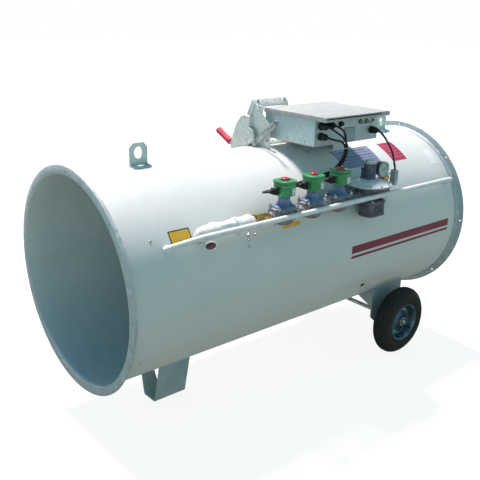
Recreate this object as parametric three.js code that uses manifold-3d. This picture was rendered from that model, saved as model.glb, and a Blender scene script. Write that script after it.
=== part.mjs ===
// Portable forced air heater: a round steel casing on a strap leg and two wheels,
// with a gas valve train and a control box outside, and a fan and burner inside.
// Millimetres. +X runs from the hot air outlet to the air inlet, +Z is up,
// and the gas train is on the -Y side. Origin: centre of the base, on the ground.
import * as THREE from 'three';
import { mergeVertices } from 'three/addons/utils/BufferGeometryUtils.js';
import Module from 'manifold-3d';

const wasm = await Module();
wasm.setup();

// ---------- driving dimensions ----------
const L = 1769.4;          // casing length
const R = 381;             // casing outer radius (762 mm across)
const T = 2.5;             // casing sheet
const RI = R - T;          // casing inner radius
const RF = 409;            // flange outer radius
const GAP = 0.3;           // clearance between touching pieces
const SEG = 60;            // facets round the casing
const GROUND = -580.7;     // ground below the casing axis
const FRAME_X = -L / 2;    // shift from the casing frame to the object frame
const FRAME_Y = 25;        // centres the bounding box across
const FRAME_Z = 580.7;

const BOLT_N = 8, BOLT_R = 395, BOLT_HOLE = 4.5;   // flange holes

const WHEEL_X = 1425, WHEEL_R = 156, WHEEL_Z = GROUND + WHEEL_R;
const WHEEL_OUT = 392, TYRE_W = 80, RIM_R = 87;
const AXLE_R = 9.5;

const TRAIN_Y = -368, TRAIN_Z = 222;               // gas train centre line
const VALVE_X = [648, 791, 934];
const RAIL_Y = -423, RAIL_Z = 229, RAIL_R = 10;

const BOX = { x0: 893, x1: 1257, y0: -268, y1: 14, z0: 419, z1: 521 };
const LID = { x0: 887, x1: 1262, y0: -323.5, y1: 18, z0: 521.3, z1: 537 };
const SHEET = 2;
const TOGGLE_TILT = 14;        // degrees each side of square

const WINCH_Y = 59, WINCH_Z = 420;                 // winch drum axis

// ---------- solid helpers ----------
function solid(geometry, matrix) {
  let g = geometry.clone();
  if (matrix) g.applyMatrix4(matrix);
  g.deleteAttribute('normal');
  g.deleteAttribute('uv');
  g = mergeVertices(g, 1e-4);
  const p = g.attributes.position.array;
  const idx = g.index.array;
  const tri = [];
  let vol = 0;
  for (let i = 0; i < idx.length; i += 3) {
    const a = idx[i], b = idx[i + 1], c = idx[i + 2];
    if (a === b || b === c || a === c) continue;
    tri.push(a, b, c);
    const ax = p[3 * a], ay = p[3 * a + 1], az = p[3 * a + 2];
    const bx = p[3 * b], by = p[3 * b + 1], bz = p[3 * b + 2];
    const cx = p[3 * c], cy = p[3 * c + 1], cz = p[3 * c + 2];
    vol += ax * (by * cz - bz * cy) - ay * (bx * cz - bz * cx) + az * (bx * cy - by * cx);
  }
  if (vol < 0) for (let i = 0; i < tri.length; i += 3) [tri[i], tri[i + 1]] = [tri[i + 1], tri[i]];
  return new wasm.Manifold(new wasm.Mesh({
    numProp: 3, vertProperties: new Float32Array(p), triVerts: new Uint32Array(tri),
  }));
}
function toGeometry(m) {
  const k = m.getMesh();
  const g = new THREE.BufferGeometry();
  g.setAttribute('position', new THREE.BufferAttribute(new Float32Array(k.vertProperties), 3));
  g.setIndex(new THREE.BufferAttribute(new Uint32Array(k.triVerts), 1));
  g.computeVertexNormals();
  return g;
}
const M4 = () => new THREE.Matrix4();
const at = (x, y, z) => M4().makeTranslation(x, y, z);
const rx = a => M4().makeRotationX(a);
const ry = a => M4().makeRotationY(a);
const rz = a => M4().makeRotationZ(a);
const mul = (...ms) => ms.reduce((a, b) => a.multiply(b), M4());
const join = (...s) => s.reduce((a, b) => a.add(b));
const cut = (a, ...s) => s.reduce((x, b) => x.subtract(b), a);
const D = Math.PI / 180;

function box(x0, x1, y0, y1, z0, z1) {
  return solid(new THREE.BoxGeometry(x1 - x0, y1 - y0, z1 - z0), at((x0 + x1) / 2, (y0 + y1) / 2, (z0 + z1) / 2));
}
// lathe profile: [axial, radius] pairs; axis 'x', 'y' or 'z' through point c
const AXIS = { x: rz(-Math.PI / 2), y: M4(), z: rx(Math.PI / 2) };
function turn(profile, axis, c, seg = 24, extra) {
  const pts = profile.map(([a, r]) => new THREE.Vector2(r, a));
  const m = mul(at(...c), extra ?? M4(), AXIS[axis]);
  return solid(new THREE.LatheGeometry(pts, seg), m);
}
function rod(axis, c, r, a0, a1, seg = 16, extra) {
  return turn([[a0, 0], [a0, r], [a1, r], [a1, 0]], axis, c, seg, extra);
}
function ring(axis, c, ri, ro, a0, a1, seg = 24) {
  return turn([[a0, ri], [a0, ro], [a1, ro], [a1, ri], [a0, ri]], axis, c, seg);
}
// flat outline in the Y-Z plane pushed along X, from x0 to x1
function plateX(pts, x0, x1) {
  const s = new THREE.Shape(pts.map(([y, z]) => new THREE.Vector2(y, z)));
  const g = new THREE.ExtrudeGeometry(s, { depth: x1 - x0, bevelEnabled: false });
  const m = new THREE.Matrix4().set(0, 0, 1, x0, 1, 0, 0, 0, 0, 1, 0, 0, 0, 0, 0, 1);
  return solid(g, m);
}
// flat outline in the X-Z plane pushed along Y, from y0 to y1
function plateY(pts, y0, y1) {
  const s = new THREE.Shape(pts.map(([x, z]) => new THREE.Vector2(x, -z)));
  const g = new THREE.ExtrudeGeometry(s, { depth: y1 - y0, bevelEnabled: false });
  const m = new THREE.Matrix4().set(1, 0, 0, 0, 0, 0, 1, y0, 0, -1, 0, 0, 0, 0, 0, 1);
  return solid(g, m);
}
// flat outline in the X-Y plane pushed along Z, from z0 to z1
function plateZ(pts, z0, z1) {
  const s = new THREE.Shape(pts.map(([x, y]) => new THREE.Vector2(x, y)));
  const g = new THREE.ExtrudeGeometry(s, { depth: z1 - z0, bevelEnabled: false });
  return solid(g, at(0, 0, z0));
}
class KnotPath extends THREE.Curve {
  constructor(points) { super(); this.pts = points; }
  getPoint(t, target = new THREE.Vector3()) {
    const n = this.pts.length - 1, s = Math.min(Math.max(t, 0), 1) * n;
    const i = Math.min(Math.floor(s + 1e-9), n - 1);
    return target.copy(this.pts[i]).lerp(this.pts[i + 1], s - i);
  }
  getPointAt(u, target) { return this.getPoint(u, target); }
  getTangentAt(u, target = new THREE.Vector3()) {
    const n = this.pts.length - 1, i = Math.round(u * n);
    const a = this.pts[Math.max(i - 1, 0)], m = this.pts[i], b = this.pts[Math.min(i + 1, n)];
    const d1 = m.clone().sub(a), d2 = b.clone().sub(m);
    if (d1.length() > 0) d1.normalize();
    if (d2.length() > 0) d2.normalize();
    return target.copy(d1.add(d2)).normalize();
  }
}
// rounds the corners of a polyline into short arcs
function rounded(points, radius, steps = 4) {
  const v = points.map(p => new THREE.Vector3(...p));
  const out = [v[0]];
  for (let i = 1; i < v.length - 1; i++) {
    const a = v[i - 1].clone().sub(v[i]), b = v[i + 1].clone().sub(v[i]);
    const k = Math.min(radius, a.length() / 2.05, b.length() / 2.05);
    const p0 = v[i].clone().add(a.normalize().multiplyScalar(k));
    const p2 = v[i].clone().add(b.normalize().multiplyScalar(k));
    const q = new THREE.QuadraticBezierCurve3(p0, v[i], p2);
    for (let j = 0; j <= steps; j++) out.push(q.getPoint(j / steps));
  }
  out.push(v[v.length - 1]);
  return out;
}
function circleShape(r, n) {
  return new THREE.Shape(Array.from({ length: n }, (_, i) =>
    new THREE.Vector2(r * Math.cos(2 * Math.PI * i / n), r * Math.sin(2 * Math.PI * i / n))));
}
function tube(knots, r, sides) {
  const path = new KnotPath(knots);
  return solid(new THREE.ExtrudeGeometry(circleShape(r, sides), {
    steps: knots.length - 1, bevelEnabled: false, extrudePath: path,
  }));
}
function smooth(points, n) {
  return new THREE.CatmullRomCurve3(points.map(p => new THREE.Vector3(...p)), false, 'centripetal').getSpacedPoints(n);
}

// ---------- the assembly ----------
const heater = new THREE.Group();
heater.position.set(FRAME_X, FRAME_Y, FRAME_Z);
const MAT = {
  casing: [0xdfe3e0, 0.45, 0.1], galv: [0xa7b0ae, 0.5, 0.7], white: [0xe8eae8, 0.5, 0.1],
  tyre: [0x1c1c1e, 0.9, 0], rim: [0x8fa0b4, 0.45, 0.6], steel: [0x9a9c9e, 0.4, 0.8],
  cast: [0x8d8a90, 0.6, 0.5], bonnet: [0x4f6fa0, 0.5, 0.4], green: [0x37925a, 0.45, 0.1],
  brass: [0xc9a868, 0.35, 0.9], dark: [0x33405a, 0.5, 0.4], black: [0x151517, 0.6, 0],
  red: [0xbe1e3c, 0.45, 0], zinc: [0xc9ccd0, 0.25, 0.9], motor: [0x5a6a74, 0.5, 0.4],
  hot: [0xb5b0a6, 0.5, 0.8], face: [0x8fb0b6, 0.5, 0.4], ceramic: [0xeeeae0, 0.5, 0],
};
function part(name, s, mat) {
  const [color, roughness, metalness] = MAT[mat];
  const mesh = new THREE.Mesh(toGeometry(s), new THREE.MeshStandardMaterial({ color, roughness, metalness }));
  mesh.name = name;
  heater.add(mesh);
  return mesh;
}
const outer = turn([[-60, 0], [-60, R + GAP], [L + 60, R + GAP], [L + 60, 0]], 'x', [0, 0, 0], SEG);
const inner = turn([[-60, 0], [-60, RI - GAP], [L + 60, RI - GAP], [L + 60, 0]], 'x', [0, 0, 0], SEG);

// casing shell, open at both ends, with the hole for the gas pipe
const PIPE_X = 302, PIPE_TURN = -39 * D;            // the pipe goes in and down from here
const pipeIn = k => [PIPE_X, TRAIN_Y + k * Math.cos(PIPE_TURN), TRAIN_Z + k * Math.sin(PIPE_TURN)];
const alongPipe = (r, k0, k1, seg) => rod('y', pipeIn(0), r, k0, k1, seg, rx(PIPE_TURN));
part('casing_shell', cut(
  ring('x', [0, 0, 0], RI, R, 0, L, SEG), alongPipe(19, -10, 120, 16)), 'casing');

// rolled angle flanges
function flange(face, dir) {
  const x = d => face + dir * d;
  let f = turn([[x(0), R + GAP], [x(0), RF], [x(3.5), RF], [x(3.5), R + 3.8], [x(26), R + 3.8], [x(26), R + GAP], [x(0), R + GAP]],
    'x', [0, 0, 0], SEG);
  for (let i = 0; i < BOLT_N; i++) {
    const a = i * 2 * Math.PI / BOLT_N;
    f = f.subtract(rod('x', [face, BOLT_R * Math.sin(a), BOLT_R * Math.cos(a)], BOLT_HOLE, -8, 8, 6));
  }
  return f;
}
part('outlet_flange', flange(0, 1), 'galv');
part('inlet_flange', flange(L, -1), 'galv');

// front leg: one strap bent to a trough, welded under the casing; its far side is cut back on a slant
const legSlant = plateY([[341, -340], [341, -372], [372.5, GROUND + 8], [460, GROUND + 8], [460, -340]], 12, 110);
part('front_leg', cut(plateX([
  [-40, GROUND], [40, GROUND], [84.5, -360], [79.4, -360], [36, GROUND + 5], [-36, GROUND + 5], [-79.4, -360], [-84.5, -360],
], 301, 446), outer, legSlant), 'casing');

// wheel brackets: a plate each side, from the casing down past the axle
function wheelBracket(s) {
  const pl = plateY([[1334, -255], [1540, -255], [1540, -330], [1478, -462], [1380, -462], [1334, -420]], s > 0 ? 262 : -267, s > 0 ? 267 : -262);
  const gusset = plateX([[-263, -255], [-263, -381], [-168, -341], [-168, -325]].map(([y, z]) => [-s * y, z]), 1346, 1352);
  return cut(join(pl, gusset), outer, rod('y', [WHEEL_X, 0, WHEEL_Z], AXLE_R + GAP, -300, 300, 20));
}
part('wheel_bracket_near', wheelBracket(-1), 'casing');
part('wheel_bracket_far', wheelBracket(1), 'casing');

const axleC = [WHEEL_X, 0, WHEEL_Z];
part('axle', turn([[-388, 0], [-388, AXLE_R], [-386, 15], [-382, 15], [-382, AXLE_R],
  [382, AXLE_R], [382, 15], [386, 15], [388, AXLE_R], [388, 0]], 'y', axleC, 16), 'steel');

function wheel(side, tag) {
  const c = side * (WHEEL_OUT - TYRE_W / 2);
  const w = TYRE_W / 2;
  const tyre = turn([
    [c - 36, RIM_R + GAP], [c - w, 106], [c - w, 121], [c - 34, 134], [c - 22, 147], [c - 10, WHEEL_R],
    [c + 10, WHEEL_R], [c + 22, 147], [c + 34, 134], [c + w, 121], [c + w, 106], [c + 36, RIM_R + GAP], [c - 36, RIM_R + GAP],
  ], 'y', axleC, 24);
  part('tyre_' + tag, tyre, 'tyre');
  const o = side;   // the dished side faces outward
  const rim = turn([
    [c - o * 58, AXLE_R + GAP], [c - o * 58, 22], [c - o * 12, 22], [c - o * 6, 40], [c - o * 6, 66], [c - o * 36, 79], [c - o * 36, RIM_R],
    [c + o * 36, RIM_R], [c + o * 36, 79], [c + o * 2, 68], [c + o * 2, 40], [c + o * 28, 22], [c + o * 28, AXLE_R + GAP], [c - o * 58, AXLE_R + GAP],
  ], 'y', axleC, 24);
  part('rim_' + tag, rim, 'rim');
}
wheel(-1, 'near');
wheel(1, 'far');

// guard rail in front of the gas train
const rl = Math.hypot(RAIL_Y, RAIL_Z), ry0 = RAIL_Y / rl, rz0 = RAIL_Z / rl;
const railPts = rounded([[168, ry0 * 372, rz0 * 372], [241, RAIL_Y, RAIL_Z], [1612, RAIL_Y, RAIL_Z], [1690, ry0 * 372, rz0 * 372]], 30, 3);
part('guard_rail', cut(tube(railPts, RAIL_R, 12), outer), 'white');

// lifting eyes: an upright plate on a curved foot
function eye(x0, z1, holeX, holeZ, slot) {
  const x1 = x0 + 72;
  const plate = plateY([[x0, 365], [x1, 365], [x1, z1 - 17], [x1 - 15, z1], [x0 + 15, z1], [x0, z1 - 17]], -19, -11);
  const foot = ring('x', [0, 0, 0], R, R + 6, x0, x1, SEG).intersect(box(x0, x1, -47, -12, 300, 420));
  const h = plateY(Array.from({ length: 16 }, (_, i) => {
    const a = 2 * Math.PI * i / 16;
    return [holeX + slot[0] * Math.cos(a), holeZ + slot[1] * Math.sin(a)];
  }), -30, 0);
  return cut(join(plate, foot), h, outer);
}
part('front_lifting_eye', eye(234, 463, 269, 428, [17, 21]), 'casing');
part('rear_lifting_eye', eye(1562, 459, 1599, 424, [12, 18]), 'casing');

// inlet guard: rings on crossed bars, held in the casing end
{
  let g = ring('x', [0, 0, 0], RI - 12, RI - 2, L - 26, L - 14, 30);
  for (const r of [290, 205, 120]) g = g.add(ring('x', [0, 0, 0], r - 4, r + 4, L - 24, L - 18, 20));
  for (let i = 0; i < 3; i++) {
    g = g.add(solid(new THREE.BoxGeometry(6, 8, 2 * (RI - 6)), mul(at(L - 21, 0, 0), rx(i * 60 * D + 30 * D))));
  }
  part('inlet_guard', g.add(rod('x', [0, 0, 0], 34, L - 26, L - 16, 12)), 'galv');
}

// fan: motor on a channel across the casing, shaft and rotor
part('motor_mount', join(
  box(1520, 1700, -370, 370, -120, -115), box(1520, 1526, -370, 370, -150, -118), box(1694, 1700, -370, 370, -150, -118)).intersect(inner), 'galv');
part('fan_motor', join(
  turn([[1498, 0], [1498, 70], [1508, 92], [1540, 98], [1700, 98], [1718, 88], [1730, 40], [1730, 0]], 'x', [0, 0, 0], 20),
  box(1536, 1556, -82, 82, -114.7, -70), box(1664, 1684, -82, 82, -114.7, -70),
  box(1580, 1650, 80, 128, -28, 46)), 'motor');
part('fan_shaft', rod('x', [0, 0, 0], 14, 1392, 1497.7, 16), 'steel');
{
  let rotor = turn([[1400, 14 + GAP], [1400, 40], [1412, 74], [1416, 78], [1470, 78], [1470, 14 + GAP], [1400, 14 + GAP]], 'x', [0, 0, 0], 24);
  for (let i = 0; i < 6; i++) {
    const g = new THREE.BoxGeometry(5, 150, 274, 1, 1, 2);
    const p = g.attributes.position;
    for (let k = 0; k < p.count; k++) {
      const f = (p.getZ(k) + 137) / 274;                 // 0 at the hub, 1 at the tip
      const a = (52 - 26 * f) * D, w = 0.62 + 0.38 * f;
      const x = p.getX(k), y = p.getY(k) * w;
      p.setXYZ(k, x * Math.cos(a) + y * Math.sin(a) * 0.62, -x * Math.sin(a) * 0.4 + y * Math.cos(a), p.getZ(k) + 72 + 137);
    }
    rotor = rotor.add(solid(g, mul(rx(i * 60 * D), at(1440, 0, 0))));
  }
  part('fan_rotor', rotor.intersect(rod('x', [0, 0, 0], 355, 1380, 1490, 36)).subtract(rod('x', [0, 0, 0], 14 + GAP, 1380, 1496, 16)), 'galv');
}

// gas pipe through the casing wall, along the inside and in to the burner head
{
  const pipe = tube(rounded([pipeIn(26.3), pipeIn(146), [860, pipeIn(146)[1], pipeIn(146)[2]], [945, -60, 50], [945, 0, 0], [866, 0, 0]], 42, 3), 16, 10);
  const head = turn([[742, 0], [742, 46], [752, 60], [790, 62], [862, 62], [870, 50], [870, 0]], 'x', [0, 0, 0], 24);
  part('burner_head', join(pipe, head), 'hot');
}
// mixing cone, open towards the outlet, on four arms to the casing
{
  let cone = turn([[880, 66], [880, 78], [700, 252], [694, 252], [694, 248], [698, 248], [874, 75], [874, 66], [880, 66]], 'x', [0, 0, 0], 24);
  for (let i = 0; i < 4; i++) cone = cone.add(solid(new THREE.BoxGeometry(30, 4, 170), mul(rx((i * 90 + 45) * D), at(712, 0, 322))));
  part('mixing_cone', cone.intersect(inner), 'hot');
}
part('spark_igniter', join(rod('x', [0, 84, 40], 5, 700, 800, 10), rod('x', [0, 84, 40], 9, 760, 790, 12), rod('x', [0, 84, 40], 2, 680, 702, 8)), 'ceramic');

// gas train
const tc = [0, TRAIN_Y, TRAIN_Z];
part('gas_elbow', cut(join(
  rod('x', tc, 23, PIPE_X, 334, 20), solid(new THREE.SphereGeometry(24.5, 20, 12), at(PIPE_X, TRAIN_Y, TRAIN_Z)),
  alongPipe(21, 0, 26, 20), rod('x', tc, 28, 326, 338, 16)), outer), 'white');
part('gas_tee', join(rod('x', tc, 21, 338.3, 500, 12), rod('x', tc, 25, 346, 402, 12), rod('x', tc, 29, 418, 430, 12), rod('x', tc, 26, 418, 486, 12),
  rod('z', [452, TRAIN_Y, TRAIN_Z], 24, -36, 0, 12), rod('x', tc, 29, 474, 486, 12)), 'white');
part('brass_union', join(rod('x', tc, 17, 500.3, 576.3, 16), rod('x', tc, 27, 512, 538, 6), rod('x', tc, 21, 538, 562, 8)), 'brass');
VALVE_X.forEach((x, i) => {
  const n = i + 1, c = [x, TRAIN_Y, TRAIN_Z];
  part('valve_body_' + n, cut(join(
    turn([[-32, 0], [-32, 26], [-24, 34], [24, 38], [24, 0]], 'z', [x, TRAIN_Y, TRAIN_Z - 6], 16),
    rod('x', c, 28, -52, 52, 8), rod('x', c, 18, -71.3, 71.3, 12),
    plateZ([[x - 52, -392], [x - 40, -401], [x + 40, -401], [x + 52, -392], [x + 52, -344], [x + 40, -335], [x - 40, -335], [x - 52, -344]], 240, 250)), outer), 'cast');
  part('valve_bonnet_' + n, turn([[250.3, 0], [250.3, 41], [254, 40], [260, 32], [270, 24], [282, 20], [292.7, 19], [292.7, 0]], 'z', [x, TRAIN_Y, 0], 16), 'bonnet');
  const q = 35, k = 12, y = TRAIN_Y;
  const oct = s => [[x - q * s, y - (q - k) * s], [x - (q - k) * s, y - q * s], [x + (q - k) * s, y - q * s], [x + q * s, y - (q - k) * s],
    [x + q * s, y + (q - k) * s], [x + (q - k) * s, y + q * s], [x - (q - k) * s, y + q * s], [x - q * s, y + (q - k) * s]];
  part('coil_housing_' + n, join(plateZ(oct(0.96), 293, 340), plateZ(oct(1.03), 336, 348), rod('z', [x, y, 0], 15, 347, 356, 16)), 'green');
});

// pressure regulator
const RGX = 1110;
part('regulator_body', join(
  turn([[240, 0], [240, 44], [261, 56], [261, 0]], 'z', [RGX, TRAIN_Y, 0], 20),
  turn([[190, 0], [190, 34], [200, 40], [242, 42], [242, 0]], 'z', [RGX, TRAIN_Y, 0], 20),
  plateZ([[1058, -416], [1068, -430], [1148, -430], [1158, -416], [1158, -372], [1148, -360], [1068, -360], [1058, -372]], 146, 208),
  rod('x', tc, 26, 1034, 1186, 8), rod('x', tc, 18, VALVE_X[2] + 71.6, 1232, 12)), 'cast');
part('regulator_case', turn([[261.3, 0], [261.3, 84], [265, 91], [272, 91], [276, 76], [285, 58], [288, 24], [288, 0]], 'z', [RGX, TRAIN_Y, 0], 32), 'white');
part('regulator_tower', join(turn([[288.3, 0], [288.3, 23], [352, 23], [354, 20], [363, 20], [365, 17], [365, 0]], 'z', [RGX, TRAIN_Y, 0], 20),
  rod('z', [RGX - 14, TRAIN_Y + 24, 0], 6, 288.3, 330, 10)), 'dark');
part('pressure_gauge', join(
  turn([[-392, 0], [-392, 29], [-388, 31], [-374, 31], [-360, 26], [-360, 0]], 'y', [1170, 0, 321], 24),
  rod('z', [1170, -372, 0], 6, 288.5, 300, 8)), 'dark');
part('gauge_cock', join(rod('x', [0, -372, 279], 9, 1150, 1212, 10), rod('z', [1212, -372, 0], 9, 236, 288, 10), rod('z', [1170, -372, 0], 7, 279, 288.2, 8),
  rod('x', [0, -372, 279], 11, 1186, 1200, 6)).subtract(rod('x', [0, TRAIN_Y, TRAIN_Z], 18.3, 1140, 1240, 12))
  .subtract(turn([[261, 0], [261, 92], [273, 92], [277, 77], [289, 60], [289, 0]], 'z', [RGX, TRAIN_Y, 0], 32)), 'brass');
part('gauge_cock_lever', join(rod('z', [1212, -372, 0], 6, 288.3, 294, 8), box(1208, 1238, -375, -369, 291, 295)), 'zinc');
part('switch_box', cut(join(
  box(1242, 1264, -392, -368, 244, 308),
  plateY([[1262, 244], [1284, 244], [1284, 248], [1264, 304], [1262, 304]], -372, -368),
  box(1242, 1284, -372, -290, 244, 248)), outer), 'casing');

// control box on its stand
{
  const shell = cut(box(BOX.x0, BOX.x1, BOX.y0, BOX.y1, BOX.z0, BOX.z1),
    box(BOX.x0 + SHEET, BOX.x1 - SHEET, BOX.y0 + SHEET, BOX.y1 - SHEET, BOX.z0 + SHEET, BOX.z1 + 5));
  const hole = (x, z, r, n) => rod('y', [x, 0, z], r, -275, -262, n);
  const bush = (x, z) => rod('y', [x, 0, z], 8, -273, -267, 6);
  part('control_box', cut(join(shell, bush(1150, 496), bush(1187, 495)), hole(1033, 497, 6.3, 10), hole(1150, 496, 5.3, 8), hole(1187, 495, 5.3, 8)), 'galv');
  const lid = cut(box(LID.x0, LID.x1, LID.y0, LID.y1, LID.z0, LID.z1), box(LID.x0 + 2, LID.x1 - 2, LID.y0 + 2, LID.y1 - 2, LID.z0 - 5, LID.z1 - 2));
  const skirt = cut(box(LID.x0, LID.x1, LID.y0, LID.y1, LID.z0 - 2, LID.z1), box(LID.x0 - 5, LID.x1 + 5, LID.y0 - 5, LID.y1 + 5, LID.z0 - 3, LID.z0));
  part('control_box_lid', join(lid.intersect(skirt), rod('x', [0, 22, 524.5], 4, LID.x0 + 40, LID.x1 - 40, 8),
    box(LID.x0 + 40, LID.x1 - 40, 16.5, 22, 524, 527)), 'galv');
}
part('box_stand', cut(join(
  box(1000, 1003, -130, 5, 360, 418.7), box(1000, 1030, -130, 5, 415.7, 418.7),
  box(1150, 1153, -130, 5, 360, 418.7), box(1123, 1153, -130, 5, 415.7, 418.7),
  box(1000, 1153, -66, -60, 372, 418)), outer), 'galv');
// toggles: a bat lever on a ball inside a fixed bushing, tipped down
[[1, 1150, 496], [2, 1187, 495]].forEach(([n, x, z]) => {
  part('toggle_' + n, turn([[-5, 0], [-5, 2], [5, 2], [7, 2.4], [20, 3.4], [24, 2.4], [24, 0]], 'y', [x, -270.5, z], 8, rx((180 + TOGGLE_TILT) * D)), 'black');
});
part('start_button', join(rod('y', [1033, 0, 497], 6, -276, -262, 12), rod('y', [1033, 0, 497], 8.5, -280, -274, 16)), 'black');

// cable glands and cables
const GL = { a: [920, 498], b: [959, 500], c: [921, 458], d: [1217, 458] };
function gland(x, z) {
  return turn([[-268.3, 0], [-268.3, 15], [-280, 15], [-280, 13], [-296, 12], [-304, 8.5], [-304, 0]], 'y', [x, 0, z], 12);
}
part('gland_1', gland(...GL.c), 'black');
part('gland_2', gland(...GL.a), 'black');
part('gland_3', gland(...GL.b), 'black');
part('gland_4', gland(...GL.d), 'black');
const CABLE_R = 4;
const connX = VALVE_X.map(x => x - 35 * 1.03 - GAP);       // outer face of each housing's -X side
function cableEnd(x) {      // moulded plug on the housing
  return join(box(x - 22, x, TRAIN_Y - 11, TRAIN_Y + 11, 303, 326), rod('x', [0, TRAIN_Y, 315], 8, x - 30, x - 20, 8));
}
// the three leads meet at a tie below the box and run down as one bundle;
// each follows the bundle's centre line, set off to its own side of it
const BUNDLE = [[1008, -322, 428], [1013, -322, 415], [1013, -322, 398], [1004, -321, 372], [982, -320, 348], [950, -319, 330]];
function bundled(turnDeg, reach = 5.6) {
  const c = BUNDLE.map(p => new THREE.Vector3(...p));
  return c.map((p, i) => {
    const t = c[Math.min(i + 1, c.length - 1)].clone().sub(c[Math.max(i - 1, 0)]).normalize();
    const u = new THREE.Vector3(0, 1, 0), v = t.clone().cross(u).normalize();
    const q = p.clone().addScaledVector(u, reach * Math.cos(turnDeg * D)).addScaledVector(v, reach * Math.sin(turnDeg * D));
    return [q.x, q.y, q.z];
  });
}
function lead(points, x, n) {
  const end = x === null ? [] : [[x - 30, TRAIN_Y, 315], [x - 24, TRAIN_Y, 315]].map(p => new THREE.Vector3(...p));
  const s = smooth(x === null ? points.slice(1, -1) : points.slice(1).concat([[x - 36, TRAIN_Y, 315]]), n);
  const first = [new THREE.Vector3(...points[0])];
  const last = x === null ? [new THREE.Vector3(...points[points.length - 1])] : end;
  return tube(first.concat(s, last), CABLE_R, 8);
}
const routes = {
  valve_cable_1: [[921, -304.3, 458], [921, -313, 458], [948, -319, 449], [984, -319, 440], ...bundled(-60),
    [905, -314, 323], [862, -307, 315], [800, -303, 307], [748, -303, 302], [700, -306, 300], [640, -312, 300], [598, -320, 302], [573, -338, 307], [569, -358, 313]],
  valve_cable_2: [[959, -304.3, 500], [959, -313, 500], [988, -320, 484], [1009, -319, 455], ...bundled(60),
    [905, -316, 309], [862, -316.5, 304], [800, -318, 304], [748, -321, 306], [713, -331, 309], [700, -349, 313.5], [704, -364, 315]],
  valve_cable_3: [[920, -304.3, 498], [920, -313, 498], [950, -327, 478], [984, -331, 455], ...bundled(180),
    [905, -326.5, 321], [874, -335, 319], [852, -350, 317], [847, -363, 315.5]],
};
Object.entries(routes).forEach(([name, pts], i) => {
  part(name, join(lead(pts, connX[i], [30, 26, 20][i]), cableEnd(connX[i])), 'black');
});
part('switch_cable', lead([[1217, -304.3, 458], [1217, -312, 458], [1237, -322, 437], [1256, -332, 408], [1266, -345, 380], [1263, -362, 346], [1253, -378, 322], [1253, -380, 316], [1253, -380, 308.4]],
  null, 14), 'black');

// hand winch behind the control box
{
  const wc = [0, WINCH_Y, WINCH_Z];
  const cover = plateX([[62, 376], [62, 500], [94, 502], [118, 490], [140, 464], [158, 429], [172, 392], [183, 346], [183, 330], [62, 330]], 846, 862);
  const side = plateX([[88, 480], [60, 530], [44, 549], [-7, 543], [3, 514], [-32, 487], [-50, 470], [-50, 440], [-36, 370], [110, 350], [110, 470]], 862, 866);
  const lip = plateX([[97, 486], [60, 561], [44, 549], [76, 486]], 855, 864);
  const back = plateX([[100, 470], [66, 562], [50, 546], [26, 500], [26, 372], [110, 355]], 1044, 1048);
  const tie = plateX([[46, 542], [66, 561], [62.5, 565], [42.5, 546]], 858, 1048);
  const foot = box(864, 1046, 96, 110, 345, 372);
  const boss = ring('x', wc, 10.4, 27, 838, 847, 24);
  part('winch_frame', cut(join(cover, side, lip, back, tie, foot), outer,
    rod('x', wc, 10.4, 830, 1060, 16), rod('x', [0, 14, 400], 5.3, 850, 870, 12)).subtract(rod('x', wc, 28, 838, 846.2, 24)), 'galv');
  part('winch_drum', join(rod('x', wc, 10, 834, 1054, 16), rod('x', wc, 22, 884, 1038, 16), rod('x', wc, 35, 882, 888, 16), rod('x', wc, 35, 1034, 1040, 16),
    rod('x', wc, 27, 838, 845.5, 16)), 'galv');
  const lever = plateX([[59 + 13, 420 + 13], [59 - 8, 420 + 16], [59 - 17, 420], [59 - 8, 420 - 16], [184, 350], [198, 351], [207, 360], [202, 371], [190, 368]], 869, 875);
  const c = [872, 208, 367.5];
  const dir = mul(at(...c), rx(25 * D));
  part('winch_handle', cut(join(lever, solid(new THREE.CylinderGeometry(6, 6, 110, 10), mul(dir, at(0, 42, 0)))), rod('x', wc, 10.3, 860, 880, 16)), 'zinc');
  part('winch_grip', turn([[0, 6.3], [0, 13], [4, 14.5], [88, 14.5], [98, 12], [98, 6.3], [0, 6.3]], 'y', c, 16, rx(25 * D)), 'red');
  const a = 142 * D, bx = 14, bz = 400, n = [-Math.sin(a), Math.cos(a)], d = [Math.cos(a), Math.sin(a)];
  const pt = (s, t) => [bx + d[0] * s + n[0] * t, bz + d[1] * s + n[1] * t];
  part('winch_brake_lever', join(plateX([pt(-8, -12), pt(151, -12), pt(161, -8), pt(165, 0), pt(161, 8), pt(151, 12), pt(-8, 12), pt(-14, 0)], 836, 842),
    rod('x', [0, bx, bz], 9, 832, 850, 12), rod('x', [0, bx, bz], 5, 848, 868, 12), rod('x', [0, bx + d[0] * 149, bz + d[1] * 149], 7, 831, 838, 12)), 'zinc');
}

export default heater;
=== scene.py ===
import math
import bmesh
import bpy
from mathutils import Matrix, Vector


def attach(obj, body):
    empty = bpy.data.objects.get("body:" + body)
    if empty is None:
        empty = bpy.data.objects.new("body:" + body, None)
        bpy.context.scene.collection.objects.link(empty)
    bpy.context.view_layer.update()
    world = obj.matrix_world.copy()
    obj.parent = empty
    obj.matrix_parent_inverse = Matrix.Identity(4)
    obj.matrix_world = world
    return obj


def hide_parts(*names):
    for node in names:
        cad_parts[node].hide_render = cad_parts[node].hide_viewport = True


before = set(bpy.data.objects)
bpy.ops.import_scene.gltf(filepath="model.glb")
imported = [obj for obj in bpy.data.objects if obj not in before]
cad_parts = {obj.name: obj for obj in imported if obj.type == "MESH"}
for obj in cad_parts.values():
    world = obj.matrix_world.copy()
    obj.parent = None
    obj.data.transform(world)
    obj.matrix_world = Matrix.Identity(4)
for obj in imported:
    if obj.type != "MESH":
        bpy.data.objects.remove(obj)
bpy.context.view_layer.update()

D = math.pi / 180
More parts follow.
